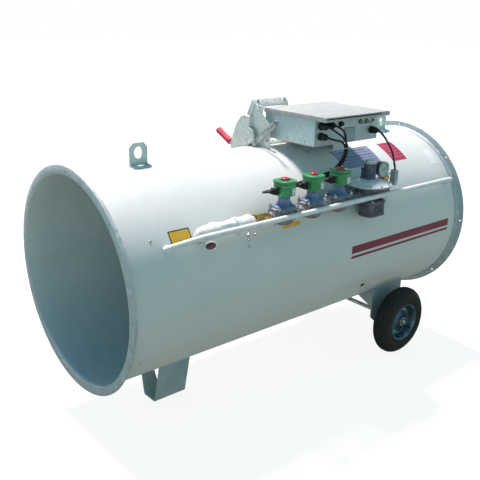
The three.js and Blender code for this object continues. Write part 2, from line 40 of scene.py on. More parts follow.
# Pieces are drawn in millimetres from the centre of the casing's outlet end, then moved to the frame in metres.
SHIFT = (-884.7, 25.0, 580.7)
L, R, RI, RF, GROUND = 1769.4, 381.0, 378.5, 409.0, -580.7


def W(p):
    return Vector(((p[0] + SHIFT[0]) / 1000, (p[1] + SHIFT[1]) / 1000, (p[2] + SHIFT[2]) / 1000))


# ------------------------------------------------------------------ camera
def look(az, el, roll):
    a, e, r = az * D, el * D, roll * D
    back = Vector((math.sin(a) * math.cos(e), -math.cos(a) * math.cos(e), math.sin(e)))
    right = Vector((0, 0, 1)).cross(back).normalized()
    up = back.cross(right)
    right2 = right * math.cos(r) + up * math.sin(r)
    up2 = -right * math.sin(r) + up * math.cos(r)
    return Matrix((right2, up2, back)).transposed().to_4x4()


cam_data = bpy.data.cameras.new("camera")
cam = bpy.data.objects.new("camera", cam_data)
bpy.context.scene.collection.objects.link(cam)
cam.matrix_world = Matrix.Translation((-1.8373, -1.9898, 1.4903)) @ look(-40.362, 18.989, 1.3404)
cam_data.lens, cam_data.sensor_width = 50.297, 36.0
cam_data.clip_start, cam_data.clip_end = 0.05, 60
bpy.context.scene.camera = cam


# ------------------------------------------------------------------ finishes
def lin(h):
    out = []
    for k in (16, 8, 0):
        c = ((h >> k) & 255) / 255
        out.append(c / 12.92 if c <= 0.04045 else ((c + 0.055) / 1.055) ** 2.4)
    return (*out, 1.0)


class Finish:
    """One procedural material, built up node by node on object coordinates."""

    def __init__(self, name, metal=0.0, coat=0.0, ior=1.5):
        self.m = bpy.data.materials.new(name)
        self.m.use_nodes = True
        self.nt = self.m.node_tree
        self.nt.nodes.clear()
        out = self.node("OutputMaterial")
        self.b = self.node("BsdfPrincipled")
        self.nt.links.new(self.b.outputs[0], out.inputs[0])
        self.b.inputs["Metallic"].default_value = metal
        self.b.inputs["Coat Weight"].default_value = coat
        self.b.inputs["Coat Roughness"].default_value = 0.12
        self.b.inputs["IOR"].default_value = ior
        self.tc = self.node("TexCoord").outputs["Object"]
        self.normal = None

    def node(self, kind, **v):
        n = self.nt.nodes.new("ShaderNode" + kind)
        for k, x in v.items():
            setattr(n, k, x)
        return n

    def link(self, a, b):
        self.nt.links.new(a, b)

    def coords(self, stretch=(1, 1, 1), spin=(0, 0, 0)):
        if stretch == (1, 1, 1) and spin == (0, 0, 0):
            return self.tc
        m = self.node("Mapping")
        m.inputs["Scale"].default_value = stretch
        m.inputs["Rotation"].default_value = spin
        self.link(self.tc, m.inputs["Vector"])
        return m.outputs[0]

    def noise(self, scale, detail=4, rough=0.55, stretch=(1, 1, 1), distort=0.0):
        n = self.node("TexNoise")
        n.inputs["Scale"].default_value = scale
        n.inputs["Detail"].default_value = detail
        n.inputs["Roughness"].default_value = rough
        n.inputs["Distortion"].default_value = distort
        self.link(self.coords(stretch), n.inputs["Vector"])
        return n.outputs[0]

    def cells(self, scale, stretch=(1, 1, 1), feature="F1", out="Color"):
        n = self.node("TexVoronoi", feature=feature)
        n.inputs["Scale"].default_value = scale
        self.link(self.coords(stretch), n.inputs["Vector"])
        o = n.outputs[out]
        if out == "Color":
            s = self.node("SeparateColor")
            self.link(o, s.inputs[0])
            o = s.outputs[0]
        return o

    def ramp(self, fac, stops):
        r = self.node("ValToRGB")
        e = r.color_ramp.elements
        while len(e) < len(stops):
            e.new(0.5)
        for el, (p, c) in zip(e, stops):
            el.position, el.color = p, (lin(c) if isinstance(c, int) else (c, c, c, 1))
        self.link(fac, r.inputs[0])
        return r.outputs[0]

    def span(self, fac, lo, hi, a, b):
        r = self.node("MapRange")
        for k, v in zip(("From Min", "From Max", "To Min", "To Max"), (lo, hi, a, b)):
            r.inputs[k].default_value = v
        self.link(fac, r.inputs["Value"])
        return r.outputs[0]

    def mix(self, fac, a, b, mode="MIX"):
        m = self.node("Mix", data_type="RGBA", blend_type=mode)
        if isinstance(fac, float):
            m.inputs[0].default_value = fac
        else:
            self.link(fac, m.inputs[0])
        for s, v in ((6, a), (7, b)):
            if isinstance(v, int):
                m.inputs[s].default_value = lin(v)
            else:
                self.link(v, m.inputs[s])
        return m.outputs[2]

    def times(self, a, b):
        m = self.node("Math", operation="MULTIPLY")
        self.link(a, m.inputs[0])
        if isinstance(b, float):
            m.inputs[1].default_value = b
        else:
            self.link(b, m.inputs[1])
        return m.outputs[0]

    def height(self):
        s = self.node("SeparateXYZ")
        self.link(self.tc, s.inputs[0])
        return s.outputs[2]

    def color(self, c):
        self.link(c, self.b.inputs["Base Color"])

    def rough(self, r):
        self.link(r, self.b.inputs["Roughness"])

    def bump(self, h, strength, dist):
        n = self.node("Bump")
        n.inputs["Strength"].default_value = strength
        n.inputs["Distance"].default_value = dist
        self.link(h, n.inputs["Height"])
        if self.normal is not None:
            self.link(self.normal, n.inputs["Normal"])
        self.normal = n.outputs[0]
        self.link(self.normal, self.b.inputs["Normal"])


def paint(name, base, dark, light, rough=(0.32, 0.5), metal=0.0, coat=0.25, mottle=3.0, grain=420.0, grain_h=0.00012,
          dent=0.0, chips=None, grime=None):
    f = Finish(name, metal, coat)
    c = f.ramp(f.noise(mottle, 5), [(0.3, dark), (0.5, base), (0.72, light)])
    fine = f.noise(grain * 0.22, 3)
    c = f.mix(f.span(fine, 0.35, 0.75, 0.0, 0.16), c, dark)
    if grime:
        streak = f.noise(14, 5, 0.65, (1.0, 1.0, 0.22))
        c = f.mix(f.span(streak, 0.56, 0.8, 0.0, 0.16), c, grime)
        low = f.span(f.height(), 0.62, 0.16, 0.0, 0.22)
        c = f.mix(f.times(low, f.noise(9, 5)), c, grime)
    if chips:
        spot = f.span(f.noise(70, 6, 0.7), 0.70, 0.74, 0.0, 0.85)
        c = f.mix(spot, c, chips)
    f.color(c)
    f.rough(f.span(f.noise(mottle * 6, 5, 0.6), 0.3, 0.7, *rough))
    f.bump(f.noise(grain, 3), 0.35, grain_h)
    if dent:
        f.bump(f.noise(4.5, 2, 0.4, (1.0, 1.6, 1.6)), 0.6, dent)
    return f.m


def zinc(name, dark, base, light, metal=0.75, rough=(0.38, 0.62), scale=75.0, streak=True):
    """Galvanised sheet: crystal patches of slightly different grey, with handling marks."""
    f = Finish(name, metal)
    cell = f.cells(scale)
    c = f.ramp(cell, [(0.05, dark), (0.5, base), (0.95, light)])
    c = f.mix(f.span(f.noise(6, 5, 0.6), 0.35, 0.7, 0.1, 0.75), c, base)
    if streak:
        c = f.mix(f.span(f.noise(22, 6, 0.7, (0.3, 1, 1)), 0.55, 0.75, 0.0, 0.4), c, light)
    c = f.mix(f.span(f.noise(55, 6, 0.75), 0.62, 0.78, 0.0, 0.45), c, dark)
    f.color(c)
    f.rough(f.span(f.cells(scale * 1.0), 0.0, 1.0, *rough))
    f.bump(f.cells(scale, out="Distance"), 0.10, 0.0002)
    f.bump(f.noise(500, 2), 0.25, 0.00008)
    return f.m


def lining(name):
    """The bare inside of the casing: pale above, with painted shade making it darker and bluer towards the bottom, and
    faint rolling marks.
    """
    f = Finish(name, 0.0)
    # painted shade: the height ramp darkens and blues the lining towards the bottom
    c = f.ramp(f.span(f.height(), 0.18, 0.98, 0.0, 1.0), [(0.0, 0xA9BDC8), (0.22, 0xC6D4D8), (0.5, 0xE2EAE8), (1.0, 0xEEF4F1)])
    c = f.mix(f.span(f.noise(7, 5, 0.6, (0.25, 1, 1)), 0.35, 0.75, 0.0, 0.22), c, 0xA9BBBB)
    c = f.mix(f.span(f.cells(34.0), 0.0, 1.0, 0.0, 0.10), c, 0xE6ECEA)
    f.color(c)
    f.rough(f.span(f.noise(30, 5), 0.3, 0.7, 0.5, 0.7))
    f.bump(f.noise(300, 3, 0.6, (0.1, 1, 1)), 0.25, 0.00012)
    return f.m


def metal(name, dark, base, light, metal=0.9, rough=(0.22, 0.42), brush=(1, 1, 1), scale=30.0, grain=600.0, grain_h=0.00006, stain=None, coat=0.0):
    f = Finish(name, metal, coat)
    c = f.ramp(f.noise(scale, 6, 0.6), [(0.3, dark), (0.5, base), (0.72, light)])
    lines = f.noise(grain, 3, 0.6, brush)
    c = f.mix(f.span(lines, 0.4, 0.7, 0.0, 0.3), c, light)
    if stain:
        c = f.mix(f.span(f.noise(scale * 1.9, 6, 0.7), 0.58, 0.72, 0.0, 0.6), c, stain)
    f.color(c)
    f.rough(f.span(lines, 0.3, 0.7, *rough))
    f.bump(lines, 0.35, grain_h)
    return f.m


def moulded(name, dark, base, light, rough=(0.42, 0.62), grain=900.0, grain_h=0.00007, coat=0.0, dust=None):
    f = Finish(name, 0.0, coat)
    c = f.ramp(f.noise(18, 4), [(0.3, dark), (0.55, base), (0.8, light)])
    if dust:
        c = f.mix(f.span(f.noise(40, 6, 0.7), 0.45, 0.75, 0.0, 0.55), c, dust)
    f.color(c)
    f.rough(f.span(f.noise(120, 4), 0.3, 0.7, *rough))
    f.bump(f.noise(grain, 2), 0.4, grain_h)
    return f.m


def cast(name, dark, base, light, metal=0.55, rough=(0.45, 0.7)):
    f = Finish(name, metal)
    c = f.ramp(f.noise(45, 6, 0.65), [(0.28, dark), (0.5, base), (0.74, light)])
    c = f.mix(f.span(f.noise(12, 5), 0.5, 0.7, 0.0, 0.4), c, dark)
    f.color(c)
    f.rough(f.span(f.noise(90, 5), 0.3, 0.7, *rough))
    f.bump(f.noise(330, 4, 0.7), 0.7, 0.0005)
    return f.m


M = {
    "casing": paint("casing_paint_finish", 0xDDE2DF, 0xD8DEDB, 0xE3E7E5, mottle=2.2, dent=0.0010, grime=0xB7C1BC),
    "inner": lining("casing_inner_finish"),
    "frame": paint("leg_paint_finish", 0xA3B5B9, 0x92A6AC, 0xB4C3C5, mottle=9.0, rough=(0.4, 0.6), chips=0x5E5C57, grime=0x6F6C66),
    "eye": paint("eye_paint_finish", 0xB9CFCB, 0xA3BDBB, 0xCFDFDB, mottle=12.0, rough=(0.35, 0.55), chips=0x6D7471),
    "galv": zinc("galvanised_finish", 0xA3AFAF, 0xB4BEBE, 0xC8D0CF),
    "flange": zinc("flange_galvanised_finish", 0xB4C1C6, 0xC3CED2, 0xD6DEE0, metal=0.45, scale=60.0),
    # painted shade and light: the box sides carry a teal sky-shade tint, and the lid below is a separate neutral copy
    # of the same sheet toned for its sunlit top
    "box": zinc("box_sheet_shade_tinted_finish", 0xAEC4C9, 0xBDD0D4, 0xD0DDDF, metal=0.4, rough=(0.4, 0.58), scale=95.0),
    "lid": zinc("lid_sheet_sunlit_finish", 0xA9ADAC, 0xB1B5B3, 0xBDC0BE, metal=0.15, rough=(0.42, 0.6), scale=80.0),
    "winch": zinc("winch_plate_finish", 0xCDD6D1, 0xDAE0DC, 0xEAEEEB, metal=0.35, scale=70.0),
    "white": paint("pipe_paint_finish", 0xEDF0EE, 0xDDE3E1, 0xF6F7F6, mottle=20.0, rough=(0.22, 0.38), coat=0.45, grain_h=0.0002, chips=0xA2A8A6),
    "tyre": moulded("tyre_rubber_finish", 0x0C0D0E, 0x141516, 0x1E1F20, rough=(0.62, 0.85), grain=700.0, grain_h=0.00015, dust=0x2C2D2C),
    "rim": metal("rim_plated_finish", 0x2A434F, 0x425E6B, 0x7F98A4, metal=0.7, rough=(0.25, 0.45), scale=24.0, stain=0x3A4C52),
    "steel": metal("bright_steel_finish", 0x8B8D90, 0xB4B6B9, 0xD7D9DB),
    "bolt": metal("zinc_bolt_finish", 0x9CA3A8, 0xC0C5C8, 0xE4E7E8, scale=160.0, rough=(0.2, 0.38)),
    "cast": cast("cast_alloy_finish", 0x727378, 0x9A9B9F, 0xBFC0C3),
    "block": cast("cast_block_finish", 0x4E4C58, 0x6C6B78, 0x8A8A95, metal=0.35),
    "bonnet": cast("bonnet_enamel_finish", 0x4E6488, 0x6E86A8, 0x94A8C0, metal=0.3, rough=(0.3, 0.5)),
    "green": paint("green_enamel_finish", 0x2F9A5B, 0x1F7C46, 0x49B374, mottle=22.0, rough=(0.2, 0.38), coat=0.5, chips=0x8FB59B),
    "cap": paint("red_cap_finish", 0xC02A3E, 0xA01C30, 0xD84457, mottle=60.0, rough=(0.25, 0.4), coat=0.4),
    "brass": metal("brass_finish", 0x9C7A41, 0xC9A462, 0xE9CE93, scale=60.0, rough=(0.2, 0.38), stain=0x7C5E38),
    "dark": paint("dark_enamel_finish", 0x4A5568, 0x384253, 0x63708A, mottle=30.0, metal=0.2, rough=(0.3, 0.5)),
    "black": moulded("black_plastic_finish", 0x0B0C0D, 0x151618, 0x24262A, rough=(0.35, 0.55)),
    "jacket": moulded("cable_jacket_finish", 0x101113, 0x1A1C1F, 0x2B2E33, rough=(0.35, 0.5), grain=1400.0),
    "grip": moulded("red_grip_finish", 0xA3142F, 0xC81F3D, 0xDE4560, rough=(0.3, 0.5), coat=0.25),
    "maroon": paint("maroon_finish", 0x8F0C38, 0x7C0930, 0xA01846, mottle=6.0, rough=(0.3, 0.45), grain_h=0.00005),
    "glassy": paint("sight_glass_finish", 0x6E1128, 0x4C0A1B, 0x8A1D38, mottle=60.0, rough=(0.06, 0.12), coat=1.0, grain_h=0.00001),
    "red": paint("red_label_finish", 0xAE2E50, 0xA22646, 0xBA3E5E, mottle=10.0, rough=(0.35, 0.5), grain_h=0.00003),
    "pink": paint("red_label_rule_finish", 0xD0899C, 0xC67D91, 0xDB9AAA, mottle=20.0, rough=(0.35, 0.5), grain_h=0.00003),
    "yellow": paint("yellow_label_finish", 0xE9B93A, 0xDDAA28, 0xF0C653, mottle=10.0, rough=(0.32, 0.45), grain_h=0.00003),
    "ink": paint("label_border_finish", 0x33312E, 0x26241F, 0x413F3A, mottle=20.0, rough=(0.35, 0.5), grain_h=0.00003),
    "plate": paint("blank_plate_finish", 0x8AA2BF, 0x7C94B5, 0x9DB2CA, mottle=8.0, metal=0.3, rough=(0.28, 0.42), grain_h=0.00003),
    "paper": paint("white_label_finish", 0xF1F2F2, 0xE8EAEA, 0xF7F8F8, mottle=12.0, rough=(0.3, 0.42), grain_h=0.00003),
    "dial": paint("dial_face_finish", 0xA9C3BC, 0x9AB6AF, 0xBDD2CC, mottle=40.0, rough=(0.2, 0.3), coat=1.0, grain_h=0.00001),
    "lens": paint("lamp_lens_finish", 0x7B8A86, 0x66756F, 0x98A5A0, mottle=90.0, rough=(0.08, 0.15), coat=1.0, grain_h=0.00001),
    "weld": cast("weld_bead_finish", 0x8C9492, 0xA9B1AE, 0xC6CCC9, metal=0.2, rough=(0.4, 0.6)),
    "hole": moulded("shadow_gap_finish", 0x050505, 0x090909, 0x101010, rough=(0.7, 0.9)),
    # gasket rubber, also used for the painted shadow line along the lid front
    "seal_and_shadow": moulded("gasket_rubber_and_shadow_line_finish", 0x141213, 0x1F1B1D, 0x2C2729, rough=(0.6, 0.8)),
    "motor": paint("motor_enamel_finish", 0x62737C, 0x51626B, 0x74868F, mottle=16.0, metal=0.1, rough=(0.35, 0.5), chips=0x3C4145, grain_h=0.0003),
    "hot": metal("heat_tinted_finish", 0x6F5B49, 0xA39A8E, 0xB9A68F, metal=0.8, rough=(0.35, 0.55), scale=7.0, stain=0x5B6A86),
    "ceramic": moulded("ceramic_finish", 0xDDD8CB, 0xEDE9DF, 0xF7F5EF, rough=(0.15, 0.25), coat=0.7, grain_h=0.00003),
    "tie": moulded("nylon_tie_finish", 0xD9DBD6, 0xE8E9E4, 0xF3F4F0, rough=(0.35, 0.5)),
    "dust": moulded("cork_gasket_finish", 0x4A3D31, 0x5F5142, 0x776855, rough=(0.7, 0.9)),
}


# ------------------------------------------------------------------ mesh code
def basis(ax):
    ax = Vector({"x": (1, 0, 0), "y": (0, 1, 0), "z": (0, 0, 1)}[ax]) if isinstance(ax, str) else Vector(ax).normalized()
    u = Vector((0, 0, 1)) if abs(ax.z) < 0.9 else Vector((1, 0, 0))
    u = (u - ax * u.dot(ax)).normalized()
    return ax, u, ax.cross(u)


def filleted(pts, r, n=3, closed=True):
    """Rounds the corners of a line of 2D or 3D points; r is one radius or one for each point."""
    pts = [Vector(p) for p in pts]
    out, N = [], len(pts)
    for i, p in enumerate(pts):
        rr = r[i] if isinstance(r, (list, tuple)) else r
        if (not closed and i in (0, N - 1)) or rr <= 0:
            out.append(p)
            continue
        a, b = pts[i - 1] - p, pts[(i + 1) % N] - p
        k = min(rr, 0.46 * a.length, 0.46 * b.length)
        if k < 1e-3:
            out.append(p)
            continue
        p0, p2 = p + a.normalized() * k, p + b.normalized() * k
        for j in range(n + 1):
            t = j / n
            out.append(p0 * (1 - t) ** 2 + p * 2 * t * (1 - t) + p2 * t * t)
    return out


def inset(pts, d):
    out, N = [], len(pts)
    for i, p in enumerate(pts):
        a, b = (p - pts[i - 1]), (pts[(i + 1) % N] - p)
        if a.length < 1e-6 or b.length < 1e-6:
            out.append(p.copy())
            continue
        na, nb = Vector((-a.y, a.x)).normalized(), Vector((-b.y, b.x)).normalized()
        m = na + nb
        k = 2 * d / max(m.length_squared, 0.6)
        out.append(p + m * k)
    return out


class Geo:
    """Vertices in millimetres, with faces and the number of each face's finish."""

    def __init__(self):
        self.v, self.f, self.m = [], [], []

    def put(self, verts, faces, mat=0):
        n = len(self.v)
        self.v += [Vector(p) for p in verts]
        self.f += [tuple(i + n for i in f) for f in faces]
        self.m += list(mat) if isinstance(mat, (list, tuple)) else [mat] * len(faces)
        return self

    def merge(self, other, mx=None):
        return self.put([mx @ p if mx else p for p in other.v], other.f, other.m)

    def lathe(self, prof, ax, c=(0, 0, 0), seg=48, mat=0, r=0.0, n=2, closed=False, start=0.0, mod=None):
        prof = [Vector(p) for p in prof]
        mats = mat if isinstance(mat, (list, tuple)) else None
        if r:
            if mats:
                raise ValueError("finish by segment goes with an unrounded profile")
            prof = filleted(prof, r, n, closed)
        a, u, w = basis(ax)
        c = Vector(c)
        rings, verts = [], []
        for q in prof:
            if q.y < 1e-4:
                rings.append([len(verts)])
                verts.append(c + a * q.x)
                continue
            ring = []
            for k in range(seg):
                t = start + 2 * math.pi * k / seg
                rr = mod(q.x, q.y, t) if mod else q.y
                ring.append(len(verts))
                verts.append(c + a * q.x + (u * math.cos(t) + w * math.sin(t)) * rr)
            rings.append(ring)
        faces, fm = [], []
        pairs = list(zip(range(len(rings)), range(1, len(rings)))) + ([(len(rings) - 1, 0)] if closed else [])
        for i, j in pairs:
            p, q = rings[i], rings[j]
            col = mats[min(i, len(mats) - 1)] if mats else mat
            if len(p) == 1 and len(q) == 1:
                continue
            for k in range(seg):
                k2 = (k + 1) % seg
                if len(p) == 1:
                    faces.append((p[0], q[k], q[k2]))
                elif len(q) == 1:
                    faces.append((p[k], q[0], p[k2]))
                else:
                    faces.append((p[k], q[k], q[k2], p[k2]))
                fm.append(col)
        return self.put(verts, faces, fm)

    def prism(self, pts, plane, a0, a1, mat=0, bev=0.6, n=2, r=0.0, rn=3):
        pts = [Vector(p) for p in pts]
        if sum(pts[i - 1].x * p.y - p.x * pts[i - 1].y for i, p in enumerate(pts)) < 0:
            pts.reverse()
            if isinstance(r, (list, tuple)):
                r = list(reversed(r))
        if r:
            pts = filleted(pts, r, rn)
        bev = min(bev, (a1 - a0) * 0.45)
        put = {"x": lambda p, a: (a, p.x, p.y), "y": lambda p, a: (p.x, a, p.y), "z": lambda p, a: (p.x, p.y, a)}[plane]
        layers = []
        for j in range(n + 1):
            t = j / n * math.pi / 2
            layers.append((a0 + bev * (1 - math.cos(t)) if n else a0, bev * (1 - math.sin(t))))
        layers += [(a1 - (a - a0), d) for a, d in reversed(layers)]
        verts, faces, N = [], [], len(pts)
        for a, d in layers:
            verts += [put(p, a) for p in (inset(pts, d) if d > 1e-6 else pts)]
        for k in range(len(layers) - 1):
            for i in range(N):
                j = (i + 1) % N
                faces.append((k * N + i, k * N + j, (k + 1) * N + j, (k + 1) * N + i))
        faces.append(tuple(range(N)))
        faces.append(tuple(range((len(layers) - 1) * N, len(layers) * N)))
        return self.put(verts, faces, mat)

    def box(self, x0, x1, y0, y1, z0, z1, mat=0, bev=1.0, r=0.0, plane="z"):
        if plane == "z":
            return self.prism([(x0, y0), (x1, y0), (x1, y1), (x0, y1)], "z", z0, z1, mat, bev, r=r or bev)
        if plane == "y":
            return self.prism([(x0, z0), (x1, z0), (x1, z1), (x0, z1)], "y", y0, y1, mat, bev, r=r or bev)
        return self.prism([(y0, z0), (y1, z0), (y1, z1), (y0, z1)], "x", x0, x1, mat, bev, r=r or bev)

    def tube(self, pts, r, sides=16, mat=0, cap=0.0, closed=False, squash=1.0, flat=None):
        pts = [Vector(p) for p in pts]
        N = len(pts)
        rs = r if isinstance(r, (list, tuple)) else [r] * N
        if cap and not closed:
            d0, d1 = (pts[0] - pts[1]).normalized(), (pts[-1] - pts[-2]).normalized()
            k = cap * rs[0]
            pts = [pts[0] + d0 * k, pts[0] + d0 * k * 0.7] + pts + [pts[-1] + d1 * k * 0.7, pts[-1] + d1 * k]
            rs = [rs[0] * 0.45, rs[0] * 0.82] + list(rs) + [rs[-1] * 0.82, rs[-1] * 0.45]
            N = len(pts)
        tan = []
        for i in range(N):
            a = pts[i - 1] if (i or closed) else pts[i]
            b = pts[(i + 1) % N] if (i < N - 1 or closed) else pts[i]
            tan.append((b - a).normalized())
        u = Vector(flat) if flat else (Vector((0, 0, 1)) if abs(tan[0].z) < 0.9 else Vector((1, 0, 0)))
        u = (u - tan[0] * u.dot(tan[0])).normalized()
        verts, faces = [], []
        for i in range(N):
            if i:
                q = tan[i - 1].rotation_difference(tan[i])
                u = q @ u
                u = (u - tan[i] * u.dot(tan[i])).normalized()
            w = tan[i].cross(u)
            for k in range(sides):
                t = 2 * math.pi * k / sides
                verts.append(pts[i] + (u * math.cos(t) + w * math.sin(t) * squash) * rs[i])
        for i in range(N if closed else N - 1):
            j = (i + 1) % N
            for k in range(sides):
                k2 = (k + 1) % sides
                faces.append((i * sides + k, i * sides + k2, j * sides + k2, j * sides + k))
        if not closed:
            faces.append(tuple(range(sides)))
            faces.append(tuple(range((N - 1) * sides, N * sides)))
        return self.put(verts, faces, mat)

    def ring(self, ax, c, rc, rw, seg=96, sides=12, mat=0):
        a, u, w = basis(ax)
        c = Vector(c)
        return self.tube([c + (u * math.cos(2 * math.pi * k / seg) + w * math.sin(2 * math.pi * k / seg)) * rc for k in range(seg)], rw, sides, mat, closed=True)

    def bolt(self, p, ax, af=10.0, h=5.0, mat=0, washer=1.3, stud=0.0, start=0.0):
        rr = af / 2 / math.cos(30 * D)
        z = 0.0
        if washer:
            self.lathe([(-0.6, 0), (-0.6, rr * 1.28), (washer, rr * 1.28), (washer, 0)], ax, p, 24, mat, r=0.35, n=1)
            z = washer
        self.lathe([(z - 0.2, 0), (z - 0.2, rr), (z + h * 0.76, rr), (z + h, rr * 0.84), (z + h, 0)], ax, p, 6, mat, start=start)
        if stud:
            q = rr * 0.52
            prof, x = [(z + h - 0.3, 0), (z + h - 0.3, q)], z + h
            while x < z + h + stud:
                prof += [(x, q), (x + 0.55, q * 0.84), (x + 1.1, q)]
                x += 1.25
            self.lathe(prof + [(z + h + stud, q * 0.7), (z + h + stud, 0)], ax, p, 14, mat)
        else:
            self.lathe([(z + h - 0.4, 0), (z + h - 0.4, rr * 0.5), (z + h + 0.25, rr * 0.42), (z + h + 0.25, 0)], ax, p, 14, mat)
        return self

    def screw(self, p, ax, r=4.0, h=2.4, mat=0, start=0.3):
        self.lathe([(-0.6, 0), (-0.6, r), (h * 0.25, r), (h * 0.75, r * 0.8), (h, r * 0.5), (h, 0)], ax, p, 24, mat, r=0.3, n=1)
        a, u, w = basis(ax)
        for k in (0, 1):
            t = start + k * math.pi / 2
            d = u * math.cos(t) + w * math.sin(t)
            q = a.cross(d)
            c = Vector(p) + a * (h * 0.96)
            self.tube([c - d * r * 0.52, c + d * r * 0.52], r * 0.13, 6, mat + 1 if isinstance(mat, int) else mat)
        return self

    def weld(self, pts, r=3.0, mat=0, step=2.6):
        pts = [Vector(p) for p in pts]
        out = []
        for a, b in zip(pts, pts[1:]):
            n = max(1, int((b - a).length / step))
            out += [a.lerp(b, i / n) for i in range(n)]
        out.append(pts[-1])
        return self.tube(out, [r * (1 + 0.16 * math.sin(i * 2.1) + 0.05 * math.sin(i * 0.77)) for i in range(len(out))], 8, mat, cap=0.5)

    def on_casing(self, x, th, ax_, at_, prof, power=2.0, seg=64, mats=None, spin=0.0):
        """A plate or boss that follows the casing: prof holds (fraction of its outline, height, finish)."""
        verts, faces, fm, rings = [], [], [], []
        for frac, h, _ in prof:
            if frac < 1e-6:
                rings.append([len(verts)])
                verts.append((x, -math.sin(th) * (R + h), math.cos(th) * (R + h)))
                continue
            ring = []
            for k in range(seg):
                t = 2 * math.pi * (k + 0.5) / seg
                cs, sn = math.cos(t), math.sin(t)
                q = (abs(cs / ax_) ** power + abs(sn / at_) ** power) ** (-1 / power) * frac
                if frac > 0.985:
                    q = max(q - (1 - frac) * min(ax_, at_), 0) if frac < 1 else q
                dx, ds = q * cs, q * sn
                dx, ds = dx * math.cos(spin) - ds * math.sin(spin), dx * math.sin(spin) + ds * math.cos(spin)
                t2 = th + ds / R
                ring.append(len(verts))
                verts.append((x + dx, -math.sin(t2) * (R + h), math.cos(t2) * (R + h)))
            rings.append(ring)
        for i in range(len(rings) - 1):
            p, q = rings[i], rings[i + 1]
            for k in range(seg):
                k2 = (k + 1) % seg
                if len(p) == 1:
                    faces.append((p[0], q[k], q[k2]))
                elif len(q) == 1:
                    faces.append((p[k], q[0], p[k2]))
                else:
                    faces.append((p[k], q[k], q[k2], p[k2]))
                fm.append(prof[i + 1][2] if mats is None else mats[i])
        return self.put(verts, faces, fm)


def plate_on_casing(x0, x1, t0, t1, edge=0, face=0, h=0.45, rim=0.0, nx=24, nt=20):
    """A thin rectangular sheet that follows the casing, with a border of its own finish."""
    g = Geo()
    xs = [x0 + (x1 - x0) * i / nx for i in range(nx + 1)]
    ts = [t0 + (t1 - t0) * i / nt for i in range(nt + 1)]
    if rim:
        xs = sorted(set([x0, x0 + rim] + [v for v in xs if x0 + rim * 1.3 < v < x1 - rim * 1.3] + [x1 - rim, x1]))
        dt = rim / R / D
        ts = sorted(set([t0, t0 + dt] + [v for v in ts if t0 + dt * 1.3 < v < t1 - dt * 1.3] + [t1 - dt, t1]))
    verts = [(x, -math.sin(t * D) * r, math.cos(t * D) * r) for r in (R + h, R - 0.3) for x in xs for t in ts]
    n, m = len(xs), len(ts)
    faces, fm = [], []
    for i in range(n - 1):
        for j in range(m - 1):
            a, b, c, d = i * m + j, i * m + j + 1, (i + 1) * m + j + 1, (i + 1) * m + j
            out = rim and (i in (0, n - 2) or j in (0, m - 2))
            faces.append((a, b, c, d))
            fm.append(edge if out else face)
            faces.append((a + n * m, d + n * m, c + n * m, b + n * m))
            fm.append(edge)
    rimline = [i * m for i in range(n)] + [(n - 1) * m + j for j in range(1, m)] + [i * m + m - 1 for i in range(n - 2, -1, -1)] + [j for j in range(m - 2, 0, -1)]
    for k in range(len(rimline)):
        a, b = rimline[k], rimline[(k + 1) % len(rimline)]
        faces.append((a, b, b + n * m, a + n * m))
        fm.append(edge)
    return g.put(verts, faces, fm)


made = {}


def make(name, g, mats, body="root", replaces=(), angle=32, cut=None):
    """Turns the drawn geometry into one piece of the object, in metres, riding on a body."""
    me = bpy.data.meshes.new(name)
    me.from_pydata([W(p) for p in g.v], [], g.f)
    for k in ([mats] if isinstance(mats, str) else mats):
        me.materials.append(M[k])
    for p, m in zip(me.polygons, g.m):
        p.material_index = m
    bm = bmesh.new()
    bm.from_mesh(me)
    bmesh.ops.remove_doubles(bm, verts=bm.verts, dist=1e-7)
    bmesh.ops.dissolve_degenerate(bm, edges=bm.edges, dist=1e-7)
    bmesh.ops.recalc_face_normals(bm, faces=bm.faces)
    bm.to_mesh(me)
    bm.free()
    ob = bpy.data.objects.new(name, me)
    bpy.context.scene.collection.objects.link(ob)
    if cut is not None:
        tool = bpy.data.meshes.new(name + "_tool")
        tool.from_pydata([W(p) for p in cut.v], [], cut.f)
        b2 = bmesh.new()
        b2.from_mesh(tool)
        bmesh.ops.recalc_face_normals(b2, faces=b2.faces)
        b2.to_mesh(tool)
        b2.free()
        to = bpy.data.objects.new(name + "_tool", tool)
        bpy.context.scene.collection.objects.link(to)
        md = ob.modifiers.new("cut", "BOOLEAN")
        md.object, md.operation, md.solver = to, "DIFFERENCE", "EXACT"
        dg = bpy.context.evaluated_depsgraph_get()
        done = bpy.data.meshes.new_from_object(ob.evaluated_get(dg))
        ob.modifiers.clear()
        ob.data = done
        bpy.data.objects.remove(to)
        me = done
    me.shade_smooth()
    me.set_sharp_from_angle(angle=angle * D)
    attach(ob, body)
    if replaces:
        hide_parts(*([replaces] if isinstance(replaces, str) else replaces))
    made[name] = ob
    return ob


